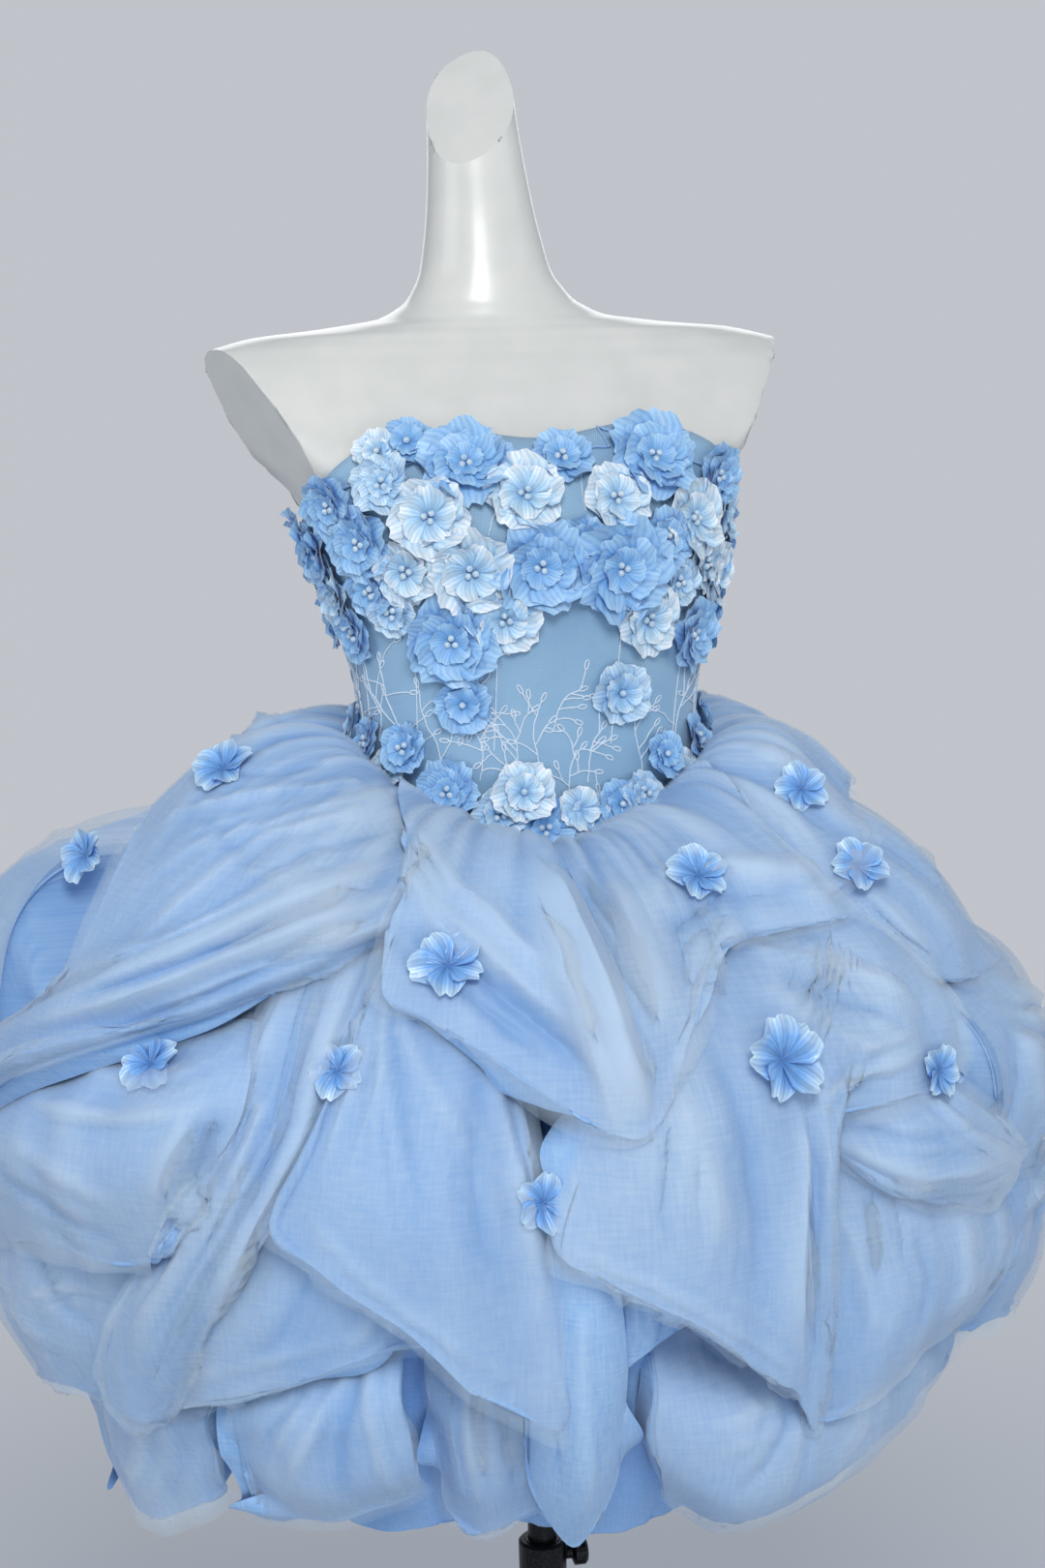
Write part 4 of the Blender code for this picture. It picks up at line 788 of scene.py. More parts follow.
# %% Ripples and gathers
RIPPLE_LENGTH, RIPPLE_DOWN = 0.030, 2.6      # metres across; and times as long downwards
RIPPLE_FINER = 2.3                    # how much finer the second set of ripples is
GATHERS_ROUND, GATHER_SHADE_MARK = 60, 1.6  # how many, and how strongly they are painted as shade and highlight
FALLS_ROUND, FALL_SHADE_MARK = 30, 0.45
FOLD_RISE = 0.0050                    # metres
FOLD_LENGTH = 5                       # folds stay alike for a fifth of a metre
FOLD_CIRCLE = 0.35                    # the noise's circle has this radius for each fold
FOLD_SOFT = 0.8                       # below 1 ridges are blunt and troughs are narrow
FALL_SEED = 40
# Where gathers and falls begin or end, and over how long they come up or fade (minus).
GATHER_REACH, GATHER_FOOT, FALL_TOP = (0.33, -0.13), (0.90, 0.08), (1.0, -0.10)


def grading(values, start, span, least=0):
    """From the least at a start to 1 a span further on."""
    return ((values - start) / span).clip(least, 1)


def ripple(piece, seed, height=0.0011):
    """Small uneven waves."""
    places, normals = places_of(piece), normals_of(piece)
    across = turns_of(places) * GIRTH_RADIUS / RIPPLE_LENGTH
    rise = np.array([noise.noise(Vector((x, z / RIPPLE_DOWN, seed)))
                     + 0.5 * noise.noise(Vector((x * RIPPLE_FINER, z, seed + 9)))
                     for x, z in zip(across, places[:, 2] / RIPPLE_LENGTH)])
    move_to(piece, places + normals * (rise * height)[:, None])


def fan_folds(piece, seed, count, rise, fade, marked=GATHER_SHADE_MARK):
    """Uneven folds that run down a piece, count of them all the way round, marked for painted
    shade and highlight.
    """
    places, normals = places_of(piece), normals_of(piece)
    circle = count * FOLD_CIRCLE
    waves = np.array([noise.noise(Vector((math.cos(turn) * circle, math.sin(turn) * circle,
                                          radius * FOLD_LENGTH + seed)))
                      for turn, radius in zip(turns_of(places), radii_of(places))])
    folds = np.sign(waves) * np.abs(waves) ** FOLD_SOFT * fade
    move_to(piece, places + normals * (folds * rise)[:, None])
    mark_fold_shade(piece, folds * marked)


def gather(piece, seed):
    """Fine folds that fan out from the waist seam and die away, and broad ones below."""
    places = places_of(piece)
    heights = places[:, 2]
    fade = grading(radii_of(places), *GATHER_REACH) * grading(heights, *GATHER_FOOT)
    fan_folds(piece, seed, GATHERS_ROUND, FOLD_RISE, fade)
    fan_folds(piece, seed + FALL_SEED, FALLS_ROUND, FOLD_RISE, grading(heights, *FALL_TOP),
              FALL_SHADE_MARK)


# %% [markdown]
# ## Keep the layers apart
# Two thin layers that cross show through each other as ragged spots. So a ray is sent
# back from just above every point: if it meets the layer beneath too soon, the point is
# raised, and its neighbours a little too, so that no dent is left.

# %% Clear the cloth beneath
FEEL, ROOM = 0.006, 0.035             # how far beneath and above a sheet is searched
OFF_SHEET = 0.0005                    # a ray starts this far off its own sheet
SPREAD = 5                            # how many neighbours away a push is still felt


def neighbour_mean(piece, values):
    """The mean of each point's neighbours."""
    ends = np.empty(len(piece.data.edges) * 2, int)
    piece.data.edges.foreach_get("vertices", ends)
    total = np.bincount(ends, values[ends.reshape(-1, 2)[:, ::-1].ravel()], len(values))
    return total / np.maximum(np.bincount(ends, minlength=len(values)), 1)


def clear_of(piece, laid):
    """Raise a sheet wherever the cloth beneath would come through it."""
    free = under_of(piece) < SHEET_ONLY
    places, normals = places_of(piece), normals_of(piece)
    trees = laid.near(places, FEEL)
    need = np.zeros(len(places))
    for k in np.flatnonzero(free):
        away = Vector(normals[k])
        reach = first_hit(trees, Vector(places[k]) + away * FEEL, -away, FEEL + LIE)
        if reach is not None:
            need[k] = FEEL + LIE - reach
    push = need
    for _ in range(SPREAD):
        push = np.maximum(need, neighbour_mean(piece, push)) * free
    move_to(piece, places + normals * push[:, None])


def room_over(piece, over, most):
    """How far each point of a sheet may rise before it meets the cloth above."""
    places, normals = places_of(piece), normals_of(piece)
    trees = over.near(places, most)
    room = np.full(len(places), most)
    for k, (place, normal) in enumerate(zip(places, normals)):
        away = Vector(normal)
        reach = first_hit(trees, Vector(place) + away * OFF_SHEET, away, most)
        if reach is not None:
            room[k] = reach
    return room


# %% [markdown]
# ## Reading a piece's points
# More is cut than shows, because the waist is gathered and the edges are turned in. The step
# below only reads where a piece's points are, and keeps nothing.


def declare_sheet(piece):
    """Read where a piece's points are; nothing is kept."""
    places = places_of(piece)


# %% [markdown]
# ## The underskirt
# The underskirt is a plain gathered tube in a deeper blue: partly its own colour and partly
# painted shade for the hollows between the panels, where it shows.

# %% The underskirt
PANELS = [name for name in frame["record"]["behaviour"]["bodies"]["dressed_form"]
          if name.split("_")[0] in ("ruffle", "veil", "pocket", "bubble", "front", "gore",
                                    "fold", "puff", "lip", "swag")]
SEAM_HEIGHT = 1.035                   # edges above this are sewn into the waist seam
shown = Layers()
underskirt = new_piece("cloth_underskirt", outer_skin("underskirt"), organza_deep_shade)
smooth_through(underskirt, 2)
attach(underskirt, "dressed_form")
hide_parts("underskirt")
declare_sheet(underskirt)
shown.add(underskirt)
print("panels to come:", len(PANELS))

# %% [markdown]
# ## Inner puffs
# Between the panels the skirt would show hollows. In the real dress crushed net fills
# them. A second copy of the underskirt does it here: each of its points rises until it
# nearly meets the panel above, within a limit, and the rise is evened out between
# neighbours. Then it is folded finely.

# %% Inner puffs
PUFF_RISE, PUFF_AIR, PUFF_HEM = 0.034, 0.008, 0.014
PUFF_FOLDS, PUFF_FOLD_RISE = 90, 0.011
PUFF_TOP, PUFF_FOOT = (1.02, -0.05), (0.61, 0.14, 0.04)
PUFF_LEAST, PUFF_RIPPLE = 0.002, 0.002
EVEN_ROUNDS = 12


def evened(piece, rise, rounds):
    """A rise lowered where a point's neighbours stand lower."""
    for _ in range(rounds):
        rise = np.minimum(rise, neighbour_mean(piece, rise))
    return rise


every_panel = Layers()
for panel in PANELS:
    every_panel.add(NODES[panel])
bm = outer_skin("underskirt")
hang_over(bm, SEAM_HEIGHT, PUFF_HEM)
# the inner puffs take the same deeper blue, partly painted shade for the hollows
puff = new_piece("veil_underskirt", bm, organza_deep_shade)
smooth_through(puff)
room = room_over(puff, every_panel, PUFF_RISE + PUFF_AIR) - PUFF_AIR
height = places_of(puff)[:, 2]
fade = grading(height, *PUFF_TOP) * grading(height, *PUFF_FOOT)
rise = evened(puff, np.minimum(room, PUFF_RISE).clip(PUFF_LEAST) * fade, EVEN_ROUNDS)
move_to(puff, places_of(puff) + normals_of(puff) * rise[:, None])
fan_folds(puff, 3, PUFF_FOLDS, PUFF_FOLD_RISE, (rise / PUFF_RISE).clip(0.1, 1))
ripple(puff, 77, PUFF_RIPPLE)
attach(puff, "dressed_form")
declare_sheet(puff)
shown.add(puff)
print("inner puffs", len(puff.data.polygons), "faces")

# %% [markdown]
# ## The panels and their net
# The panels follow in the order they are sewn. Each is a solid's outer skin, hemmed,
# smoothed, creased, gathered and lifted clear of what lies beneath. Its net ply takes
# the same folds, and floats a few millimetres out, by an uneven amount, but never
# through a panel that is sewn on later.

# %% Panels and net
HEM_ROUND, CREASE_SHARE = 0.003, 1.8
NET_RISE, NET_REACH, NET_ROUNDS, NET_TOP = 0.008, 0.012, 3, (1.055, -0.06)
NET_LEAST, NET_MOST = 0.22, 1.4       # shares of its rise, from place to place
FINE_PANELS = ("swag_front", "swag_left", "gore_right")
WITHOUT_NET = ("pocket_right", "front_tail")


def fold_up(piece, creases, seed):
    """Crease, gather and ripple a ply."""
    press_creases(piece, creases, CREASE_SHARE)
    gather(piece, seed)
    ripple(piece, seed)


def float_net(net, above, seed):
    """Lift a net ply off its panel by an uneven amount, below the cloth above."""
    places, normals = places_of(net), normals_of(net)
    wander = np.array([0.55 + 1.1 * noise.noise(Vector(p) * WANDER + Vector((0, 0, seed)))
                       for p in places]).clip(NET_LEAST, NET_MOST)
    fade = grading(places[:, 2], *NET_TOP)
    rise = np.minimum(NET_RISE * wander * fade, room_over(net, above, ROOM) - LIE).clip(0)
    move_to(net, places + normals * evened(net, rise, NET_ROUNDS)[:, None])


for number, panel in enumerate(PANELS):
    bm = outer_skin(panel)
    turn_under(bm, shown, SEAM_HEIGHT, HEM_ROUND)
    piece = new_piece("cloth_" + panel, bm, organza)
    smooth_through(piece, SMOOTH_LEVELS + (panel in FINE_PANELS))
    creases = with_companions(CREASES.get(panel) or hidden_creases(piece, number), number)
    fold_up(piece, creases, number)
    clear_of(piece, shown)
    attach(piece, "dressed_form")
    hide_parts(panel)
    declare_sheet(piece)
    print(panel, len(piece.data.polygons), "faces")
    if panel in WITHOUT_NET:
        shown.add(piece)
        continue

    bm = outer_skin(panel)
    hang_over(bm, SEAM_HEIGHT, NET_REACH)
    net = new_piece("veil_" + panel, bm, tulle)
    smooth_through(net)
    fold_up(net, creases, number)
    above = Layers()
    for later in PANELS[number + 1:]:
        above.add(NODES[later])
    float_net(net, above, number)
    shown.add(piece)
    clear_of(net, shown)
    shown.add(net)
    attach(net, "dressed_form")
    declare_sheet(net)

# %% [markdown]
# ## The dress form
# The torso is a moulded shell with a glossy coat, cut off square at the neck and the
# arms. Its triangles are joined into quads, so that they subdivide evenly, and the rims
# of the cuts are marked as creases, so that they stay sharp. The gloss is a clear coat
# over a slightly uneven colour, with a very fine orange-peel bump.

# %% The dress form
FORM_EDGE = 0.6                       # radians; the cuts' rims are sharper than this


def closed_copy(node):
    """A welded copy of a solid, mostly in quads, with its sharp rims marked."""
    bm = welded(node)
    bmesh.ops.join_triangles(bm, faces=bm.faces[:], angle_face_threshold=FORM_EDGE,
                             angle_shape_threshold=math.pi, topology_influence=1.0)
    crease = bm.edges.layers.float.new("crease_edge")
    for edge in bm.edges:
        if edge.is_manifold and edge.calc_face_angle() > FORM_EDGE:
            edge[crease], edge.smooth = 1.0, False
    return bm


form_gloss, form_shader = new_material("form_gloss", (0.80, 0.81, 0.79), 0.28,
                                       Coat_Weight=0.2, Coat_Roughness=0.15)
uneven = ramp_of(form_gloss, noise_node(form_gloss, 34.0, 5.0), (0.35, (0.68, 0.69, 0.66)),
                 (0.65, (0.73, 0.73, 0.70)))
feed_shader(form_gloss, form_shader, uneven, noise_node(form_gloss, 160.0), 0.08, 0.3 * MM)

form = new_piece("form_shell", closed_copy("dress_form"), form_gloss)
smooth_through(form, 1)
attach(form, "dressed_form")
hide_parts("dress_form")
print("form", len(form.data.polygons), "faces")

# %% [markdown]
# ## Net for the bodice
# The bodice is fine net stretched over a lining, which gives it a faint diagonal mesh.
# Two sets of crossing wave bands make the mesh, as a tint and as a bump.

# %% Net for the bodice
BUST_RADIUS, NET_PITCH = 0.14, 1.5 * MM
WAVE_UNIT = 20                        # a wave texture has this many radians per unit


def net_lines(material, flat, pitch, ways):
    """The threads of a net: fine ridges along two crossing ways."""
    ridges = []
    for way in ways:
        turned = add_node(material, "ShaderNodeMapping", {"Vector": flat})
        turned.inputs["Rotation"].default_value = (0, 0, math.radians(way))
        wave = add_node(material, "ShaderNodeTexWave", {"Vector": turned.outputs["Vector"]},
                        Scale=math.tau / pitch / WAVE_UNIT, Distortion=0.0)
        ridges.append(wave.outputs["Fac"])
    return math_node(material, "MAXIMUM", *ridges)


lace_net, lace_shader = new_material("lace_net", (0.5, 0.68, 0.9), 0.5,
                                     Sheen_Weight=0.3, Sheen_Roughness=0.4)
flat = body_coordinates(lace_net, BUST_RADIUS)[1]
mesh_lines = net_lines(lace_net, flat, NET_PITCH, (38, -38))
shade = math_node(lace_net, "ADD", math_node(lace_net, "MULTIPLY", mesh_lines, 0.45),
                  math_node(lace_net, "MULTIPLY", noise_node(lace_net, 14.0, 4.0), 0.6))
shade = ramp_of(lace_net, shade, (0.3, (0.17, 0.35, 0.55)), (0.75, (0.35, 0.55, 0.74)))
feed_shader(lace_net, lace_shader, shade, mesh_lines, 0.5, 0.5 * MM)
print("net:", lace_net.name)

# %% [markdown]
# ## The bodice
# The bodice is one piece in front and two at the back, either side of the zip. A
# Solidify modifier gives the cloth an edge that can be seen at the neckline.

# %% The bodice
BODICE_WALL = 1.2 * MM
bodice = Layers()
for node in ("bodice_front", "bodice_back_right", "bodice_back_left"):
    piece = new_piece("cloth_" + node, outer_skin(node), lace_net)
    smooth_through(piece, 2)
    bodice.add(piece)
    declare_sheet(piece)
    wall = piece.modifiers.new("wall", "SOLIDIFY")
    wall.thickness, wall.offset = BODICE_WALL, -1
    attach(piece, "dressed_form")
    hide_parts(node)
    print(piece.name, len(piece.data.polygons), "faces")

# %% [markdown]
# ## Where a trim touches the cloth
# A trim is placed by how far round the body it is and how high. A ray from outside
# finds the cloth there, and the surface normal says which way the trim faces.

# %% Seats for trims
SHORT_OF_AXIS = 0.68                  # how far a ray goes in from outside
NEAR_BODICE = 0.13                    # a radius about the bodice's


def seat_on(layers, turn, height):
    """The outermost place of some layers at a turn and a height in centimetres, and the
    way it faces."""
    out = outward(turn)
    start = out * FAR_OUT + Vector((0, 0, height / 100))
    hits = [tree.ray_cast(start, -out, SHORT_OF_AXIS) for _, _, tree in layers.known]
    hits = [hit for hit in hits if hit[0] is not None]
    if not hits:                                        # just past an edge
        near = out * NEAR_BODICE + Vector((0, 0, height / 100))
        hits = [tree.find_nearest(near) for _, _, tree in layers.known]
    place, normal, _, _ = min(hits, key=lambda hit: hit[3])
    return place, normal if normal.dot(out) > 0 else -normal


# %% [markdown]
# ## Lace sprigs
# Sprigs of twigs and leaves are embroidered on the net in white thread. A thread is a
# curve laid on the cloth with a little thickness, turned into a mesh. The sprigs grow
# at random within limits, and a fixed seed grows them the same way each time.

# %% Lace sprigs
THREAD = 0.55 * MM
thread_white, thread_shader = new_material("thread_white", (0.74, 0.84, 0.95), 0.45,
                                           Sheen_Weight=0.4, Sheen_Roughness=0.4)
speckle(thread_white, thread_shader, 1.2 * MM, (0.62, 0.76, 0.92), (0.84, 0.91, 0.97), 0.4)
ZIP_FREE = 171                        # sprigs keep off the zip, and off the neckline,
LACE_TOP, LACE_FALL = 129.5, 0.06     # which is lower by this much per degree round
ROUND_BODICE = 4.4                    # degrees per centimetre round the bodice
STEM_STEP, STEM_BEND = 0.35, 16       # centimetres; degrees either way at each step
FORK_CHANCE, FORK_SHARE = 0.6, 0.42   # how often a stem forks, and how long the fork is
SUNK = 0.7                            # a thread's middle is this share of its radius up
LEAF_LONG, LEAF_WIDE = 0.35, 0.15     # half a leaf's length and width, in centimetres


def grow_sprig(draw, turn, height, lean, length, forks):
    """The stems of a sprig as lists of (turn, height), with a leaf at each tip."""
    stem, stems = [(turn, height)], []
    steps = max(3, int(length / STEM_STEP))
    for k in range(steps):
        lean += draw.uniform(-STEM_BEND, STEM_BEND)
        turn += math.sin(math.radians(lean)) * length / steps * ROUND_BODICE
        height += math.cos(math.radians(lean)) * length / steps
        if abs(turn) > ZIP_FREE or height > LACE_TOP - LACE_FALL * abs(turn):
            break
        stem.append((turn, height))
        if forks and k % 2 and draw.random() < FORK_CHANCE:
            side = draw.choice((-1, 1)) * draw.uniform(35, 70)
            stems += grow_sprig(draw, turn, height, lean + side, length * FORK_SHARE,
                                forks - 1)
    leaf = []
    for k in range(9):
        angle = math.tau * k / 8
        out, aside = LEAF_LONG * (1 - math.cos(angle)), LEAF_WIDE * math.sin(angle)
        leaf.append((turn + (math.sin(math.radians(lean)) * out
                             + math.cos(math.radians(lean)) * aside) * ROUND_BODICE,
                     height + math.cos(math.radians(lean)) * out
                     - math.sin(math.radians(lean)) * aside))
    return stems + [stem, leaf]


def thread_piece(name, paths, layers, thickness, material):
    """Threads laid on some layers along paths of (turn, height), as one mesh."""
    curve = bpy.data.curves.new(name, "CURVE")
    curve.dimensions = "3D"
    curve.bevel_depth, curve.bevel_resolution = thickness, 0
    for path in paths:
        places = []
        for turn, height in path:
            place, normal = seat_on(layers, turn, height)
            places.append(place + normal * thickness * SUNK)
        spline = curve.splines.new("POLY")
        spline.points.add(len(places) - 1)
        for point, place in zip(spline.points, places):
            point.co = (*place, 1)
    holder = bpy.data.objects.new(name + "_curve", curve)
    bpy.context.scene.collection.objects.link(holder)
    bm = bmesh.new()
    bm.from_mesh(settled_mesh(holder))
    bpy.data.objects.remove(holder)
    piece = new_piece(name, bm, material)
    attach(piece, "dressed_form")
    return piece


# Each sprig is a turn, a height in cm, a lean in degrees, a length in cm, and its forks.
FRONT_SPRIGS = (
    (-15, 104.6, 8, 6.0, 2), (-6, 106.4, -12, 4.6, 1), (3, 102.6, 6, 5.0, 2),
    (11, 104.9, 12, 4.0, 1), (-1, 108.8, 4, 3.6, 1), (-26, 105.4, -6, 6, 1),
    (-38, 106.2, -10, 6, 1), (-50, 107.0, 6, 6, 1), (-62, 107.8, 8, 6, 1),
    (31, 104.8, -8, 5, 1), (45, 107.4, 6, 6, 1), (60, 107.9, -6, 6, 1),
    (-20, 122.4, 8, 4.2, 2), (10, 123.8, -8, 3.0, 1), (30, 124.8, 12, 2.4, 1))
BACK_SPRIGS = (
    (-76, 108, 5, 7, 1), (-95, 108.5, -6, 7, 2), (-112, 108.6, 7, 6.5, 1),
    (-130, 108.5, -5, 7, 2), (-148, 108.6, 8, 7, 1), (-166, 108.6, -3, 7, 2))
mirrored = tuple((-turn, height, -lean, length, forks)
                 for turn, height, lean, length, forks in BACK_SPRIGS)
draw = random.Random(11)
stems = [stem for row in FRONT_SPRIGS + BACK_SPRIGS + mirrored
         for stem in grow_sprig(draw, *row)]
sprigs = thread_piece("lace_sprigs", stems, bodice, THREAD, thread_white)
print("lace", len(sprigs.data.polygons), "faces")

# %% [markdown]
# ## Seams and binding
# The bodice is cut as several shaped panels. Their seams show as fine threads from the
# waist up, and a narrow cord of the skirt's cloth binds the neckline all round.

# %% Seams and binding
SEAM_THREAD, BINDING = 0.5 * MM, 1.3 * MM
SEAMS = (-68, -46, -21, 19, 44, 67, -104, -132, 104, 132)      # degrees round, at the waist
SEAM_FOOT, SEAM_STEPS, SEAM_RISE, SEAM_LEAN = 107.5, 24, 0.6, 0.2
bones = thread_piece("bodice_seams", [[(turn + k * SEAM_LEAN, SEAM_FOOT + k * SEAM_RISE)
                                       for k in range(SEAM_STEPS)] for turn in SEAMS],
                     bodice, SEAM_THREAD, thread_white)
NECK_STEPS = 6
NECKLINE = ((0, 128.7), (16, 129.7), (27, 129.0), (38, 127.9), (51, 126.5), (68, 124.8),
            (90, 122.9), (177, 122.6))
right = [(a + (b - a) * k / NECK_STEPS, h + (g - h) * k / NECK_STEPS)
         for (a, h), (b, g) in zip(NECKLINE, NECKLINE[1:]) for k in range(NECK_STEPS)]
right.append(NECKLINE[-1])
neckline = [(-turn, height) for turn, height in right[:0:-1]] + right
binding = thread_piece("neck_binding", [neckline], bodice, BINDING, organza)
print("seams", len(bones.data.polygons), "binding", len(binding.data.polygons))

# %% [markdown]
# ## The petals' cloth
# Each flower is cut from chiffon or satin, heat-set so that its rim ruffles and its pleats stay.
# The colour goes from heart to rim and is stored on the points, with painted shade in the
# troughs of the broad pleats and painted highlight on their ridges; the fine pleats are drawn by
# the material, along the petal's own UV map, as a bump and as painted stripes of shade and
# highlight.

# %% Petal cloth
# A kind of petal is its three colours, how deep its pleats are, how broad it is for the
# room it has in its ring, how deep its rim is notched, and how much it ruffles.
Kind = namedtuple("Kind", "heart middle edge pleat breadth notch ruffle")
KINDS = {
    "blue": Kind((0.10, 0.29, 0.62), (0.24, 0.49, 0.82), (0.44, 0.68, 0.91),
                 0.012, 2.35, 0.05, 1),
    "white": Kind((0.14, 0.34, 0.62), (0.48, 0.70, 0.87), (0.88, 0.94, 0.97),
                  0.022, 2.2, 0.06, 0.8),
    "pale": Kind((0.13, 0.33, 0.64), (0.37, 0.61, 0.85), (0.70, 0.85, 0.95),
                 0.018, 2.2, 0.06, 0.8),
    "satin": Kind((0.07, 0.20, 0.50), (0.22, 0.46, 0.84), (0.62, 0.80, 0.96),
                  0.030, 1.62, 0.12, 0.3),
}
STRIPES, STRIPE_SHADE_SHARE = 9, 0.7          # fine pleats across a petal; how much their painted stripes of shade and highlight colour the petal
petal_cloth, petal_shader = new_material("petal_cloth", (0.4, 0.6, 0.9), 0.40,
                                         Sheen_Weight=0.3, Sheen_Roughness=0.35)
satin, satin_shader = new_material("petal_satin", (0.4, 0.6, 0.9), 0.24,
                                   Sheen_Weight=0.2, Sheen_Roughness=0.3)
for material, shader, contrast in ((petal_cloth, petal_shader, 0.22),
                                   (satin, satin_shader, 0.26)):
    tint_and_shade = add_node(material, "ShaderNodeVertexColor")
    tint_and_shade.layer_name = "tint_and_shade"
    petal_map = add_node(material, "ShaderNodeUVMap")
    petal_map.uv_map = "petal"
    across = add_node(material, "ShaderNodeSeparateXYZ", {"Vector": petal_map.outputs["UV"]})
    # the fine pleats as painted stripes of shade and highlight, which also make the bump
    stripe = math_node(material, "MULTIPLY", across.outputs["X"], STRIPES * math.tau)
    stripe = math_node(material, "SINE", stripe)
    shade = math_node(material, "ADD", noise_node(material, 220.0, 3.0),
                      math_node(material, "MULTIPLY", stripe, contrast))
    pleats = ramp_of(material, shade, (0.3, (0.62, 0.74, 0.90)), (0.62, (1, 1, 1)))
    mixed = add_node(material, "ShaderNodeMix")
    mixed.data_type, mixed.blend_type = "RGBA", "MULTIPLY"
    mixed.inputs["Factor"].default_value = STRIPE_SHADE_SHARE
    material.node_tree.links.new(tint_and_shade.outputs["Color"], mixed.inputs["A"])
    material.node_tree.links.new(pleats, mixed.inputs["B"])
    feed_shader(material, shader, mixed.outputs["Result"], shade, 0.6, 0.5 * MM)
print("petal cloths:", petal_cloth.name, satin.name)

# %% [markdown]
# ## Shape a petal, build a flower
# A petal starts as a small grid, drawn in to a stalk, then cupped, pleated and ruffled
# by a sum of sines. A flower is a few rings of them, each ring smaller and steeper than
# the one beneath, with pearls in the middle, turned to face away from the cloth.

# %% A petal and a flower
def blend(first, second, share):
    """A colour between two."""
    return tuple(a + (b - a) * share for a, b in zip(first, second))


COLUMNS, ROWS, PLEATS = 10, 4, 2.5
WIDEST = 0.66                         # how far along a petal is at its widest
PEARL, PEARL_OFF, PEARL_UP = 2.4 * MM, 3.2 * MM, 3.4 * MM
RING_GAP, OFF_CLOTH = 0.7 * MM, 1.2 * MM
BLOOM_SCALE = 1.12                    # petals that stand up reach a little less far


def add_petal(bm, kind, length, width, lift, turn, draw):
    """One petal: a grid drawn in to a stalk, pleated, cupped and ruffled at its rim."""
    tint_and_shade = bm.verts.layers.float_color["tint_and_shade"]
    verts = bmesh.ops.create_grid(bm, x_segments=COLUMNS, y_segments=ROWS, size=1,
                                  calc_uvs=True)["verts"]
    phase, twist = draw.uniform(0, math.tau), draw.uniform(0.06, 0.14)
    ruffle = draw.uniform(0.04, 0.09) * kind.ruffle
    lobe = draw.uniform(0.03, 0.07) * kind.ruffle
    for v in verts:
        across, along = v.co.x, (v.co.y + 1) / 2
        # The outline: a narrow stalk, widest two thirds out, a notched and wavy rim.
        broad = 0.16 + 0.84 * math.sin(math.pi / 2 * min(1, along / WIDEST)) ** 1.3
        broad *= 1 - 0.24 * max(0, (along - WIDEST) / (1 - WIDEST)) ** 2
        rim = along ** 3
        notch = kind.notch * math.exp(-(across / 0.22) ** 2) * rim
        reach = along * (1 - 0.30 * across ** 2 - notch)
        reach *= 1 + lobe * math.cos(9 * across + phase) * rim
        # The height: the petal lifts and bends back, is cupped and twisted, and ruffles.
        fold = (kind.pleat * math.cos(PLEATS * math.pi * across)
                * math.sin(math.pi * 0.8 * min(1, along * 1.15 + 0.02)))
        height = (lift * along - 0.30 * lift * along ** 3 + 0.10 * across ** 2 * along
                  + twist * across * along + fold
                  + ruffle * math.sin(4.2 * across + phase) * rim)
        v.co = Vector((across * broad * width / 2, reach * length, height * length))
        colour = (blend(kind.heart, kind.middle, along / 0.5) if along < 0.5
                  else blend(kind.middle, kind.edge, (along - 0.5) / 0.5))
        # painted shade in the pleats' troughs and painted highlight on their ridges
        shade = 1 + 6 * kind.pleat * math.cos(PLEATS * math.pi * across)
        v[tint_and_shade] = (*(min(1, c * shade) for c in colour), 1)
    bmesh.ops.rotate(bm, verts=verts, cent=(0, 0, 0), matrix=Matrix.Rotation(turn, 3, "Z"))
    return verts


def add_bloom(bm, pearls, bloom, place, normal, draw):
    """A flower of rings of petals, sewn on at a place, with its pearls."""
    kind, reach = KINDS[bloom.kind], bloom.reach * BLOOM_SCALE * MM
    verts = []
    for number, (petals, share, lift) in enumerate(bloom.rings):
        for k in range(petals):
            turn = math.tau * (k + 0.5 * number) / petals + draw.uniform(-0.12, 0.12)
            length = reach * share * draw.uniform(0.92, 1.06)
            width = kind.breadth * length * math.sin(math.pi / petals)
            ring = add_petal(bm, kind, length, width, lift + draw.uniform(-0.05, 0.07), turn,
                             draw)
            bmesh.ops.translate(bm, verts=ring, vec=(0, 0, number * RING_GAP))
            verts += ring
    seat_turn = (normal.to_track_quat("Z", "Y").to_matrix().to_4x4()
                 @ Matrix.Rotation(math.radians(bloom.spin), 4, "Z"))
    seat_place = Matrix.Translation(place + normal * OFF_CLOTH) @ seat_turn
    bmesh.ops.transform(bm, verts=verts, matrix=seat_place)
    for k in range(bloom.pearls):
        angle = math.tau * k / bloom.pearls + bloom.spin
        off = 0 if bloom.pearls == 1 else PEARL_OFF
        at = Vector((math.cos(angle) * off, math.sin(angle) * off, PEARL_UP))
        bmesh.ops.create_uvsphere(pearls, u_segments=10, v_segments=7, radius=PEARL,
                                  matrix=Matrix.Translation(seat_place @ at))


def new_flower_mesh():
    """An empty bmesh for petals."""
    bm = bmesh.new()
    bm.verts.layers.float_color.new("tint_and_shade")
    bm.loops.layers.uv.new("petal")
    return bm


# %% [markdown]
# ## The layout of the flowers
# About a hundred flowers are sewn on: large ones in a band over the bust, smaller ones
# round the waist, single satin ones scattered over the skirt. A short row for each
# flower gives its kind, place and size. Those at the back follow the same rhythm.

# %% Where the flowers sit
# Rings of petals: how many, what share of the flower's reach, and how steep.
FULL = ((6, 1.08, 0.14), (5, 0.78, 0.28), (5, 0.46, 0.45))
OPEN = ((5, 1.08, 0.14), (5, 0.72, 0.30))
FLAT = ((5, 1.05, 0.14), (5, 0.64, 0.4))
SINGLE = ((5, 1.0, 0.20),)
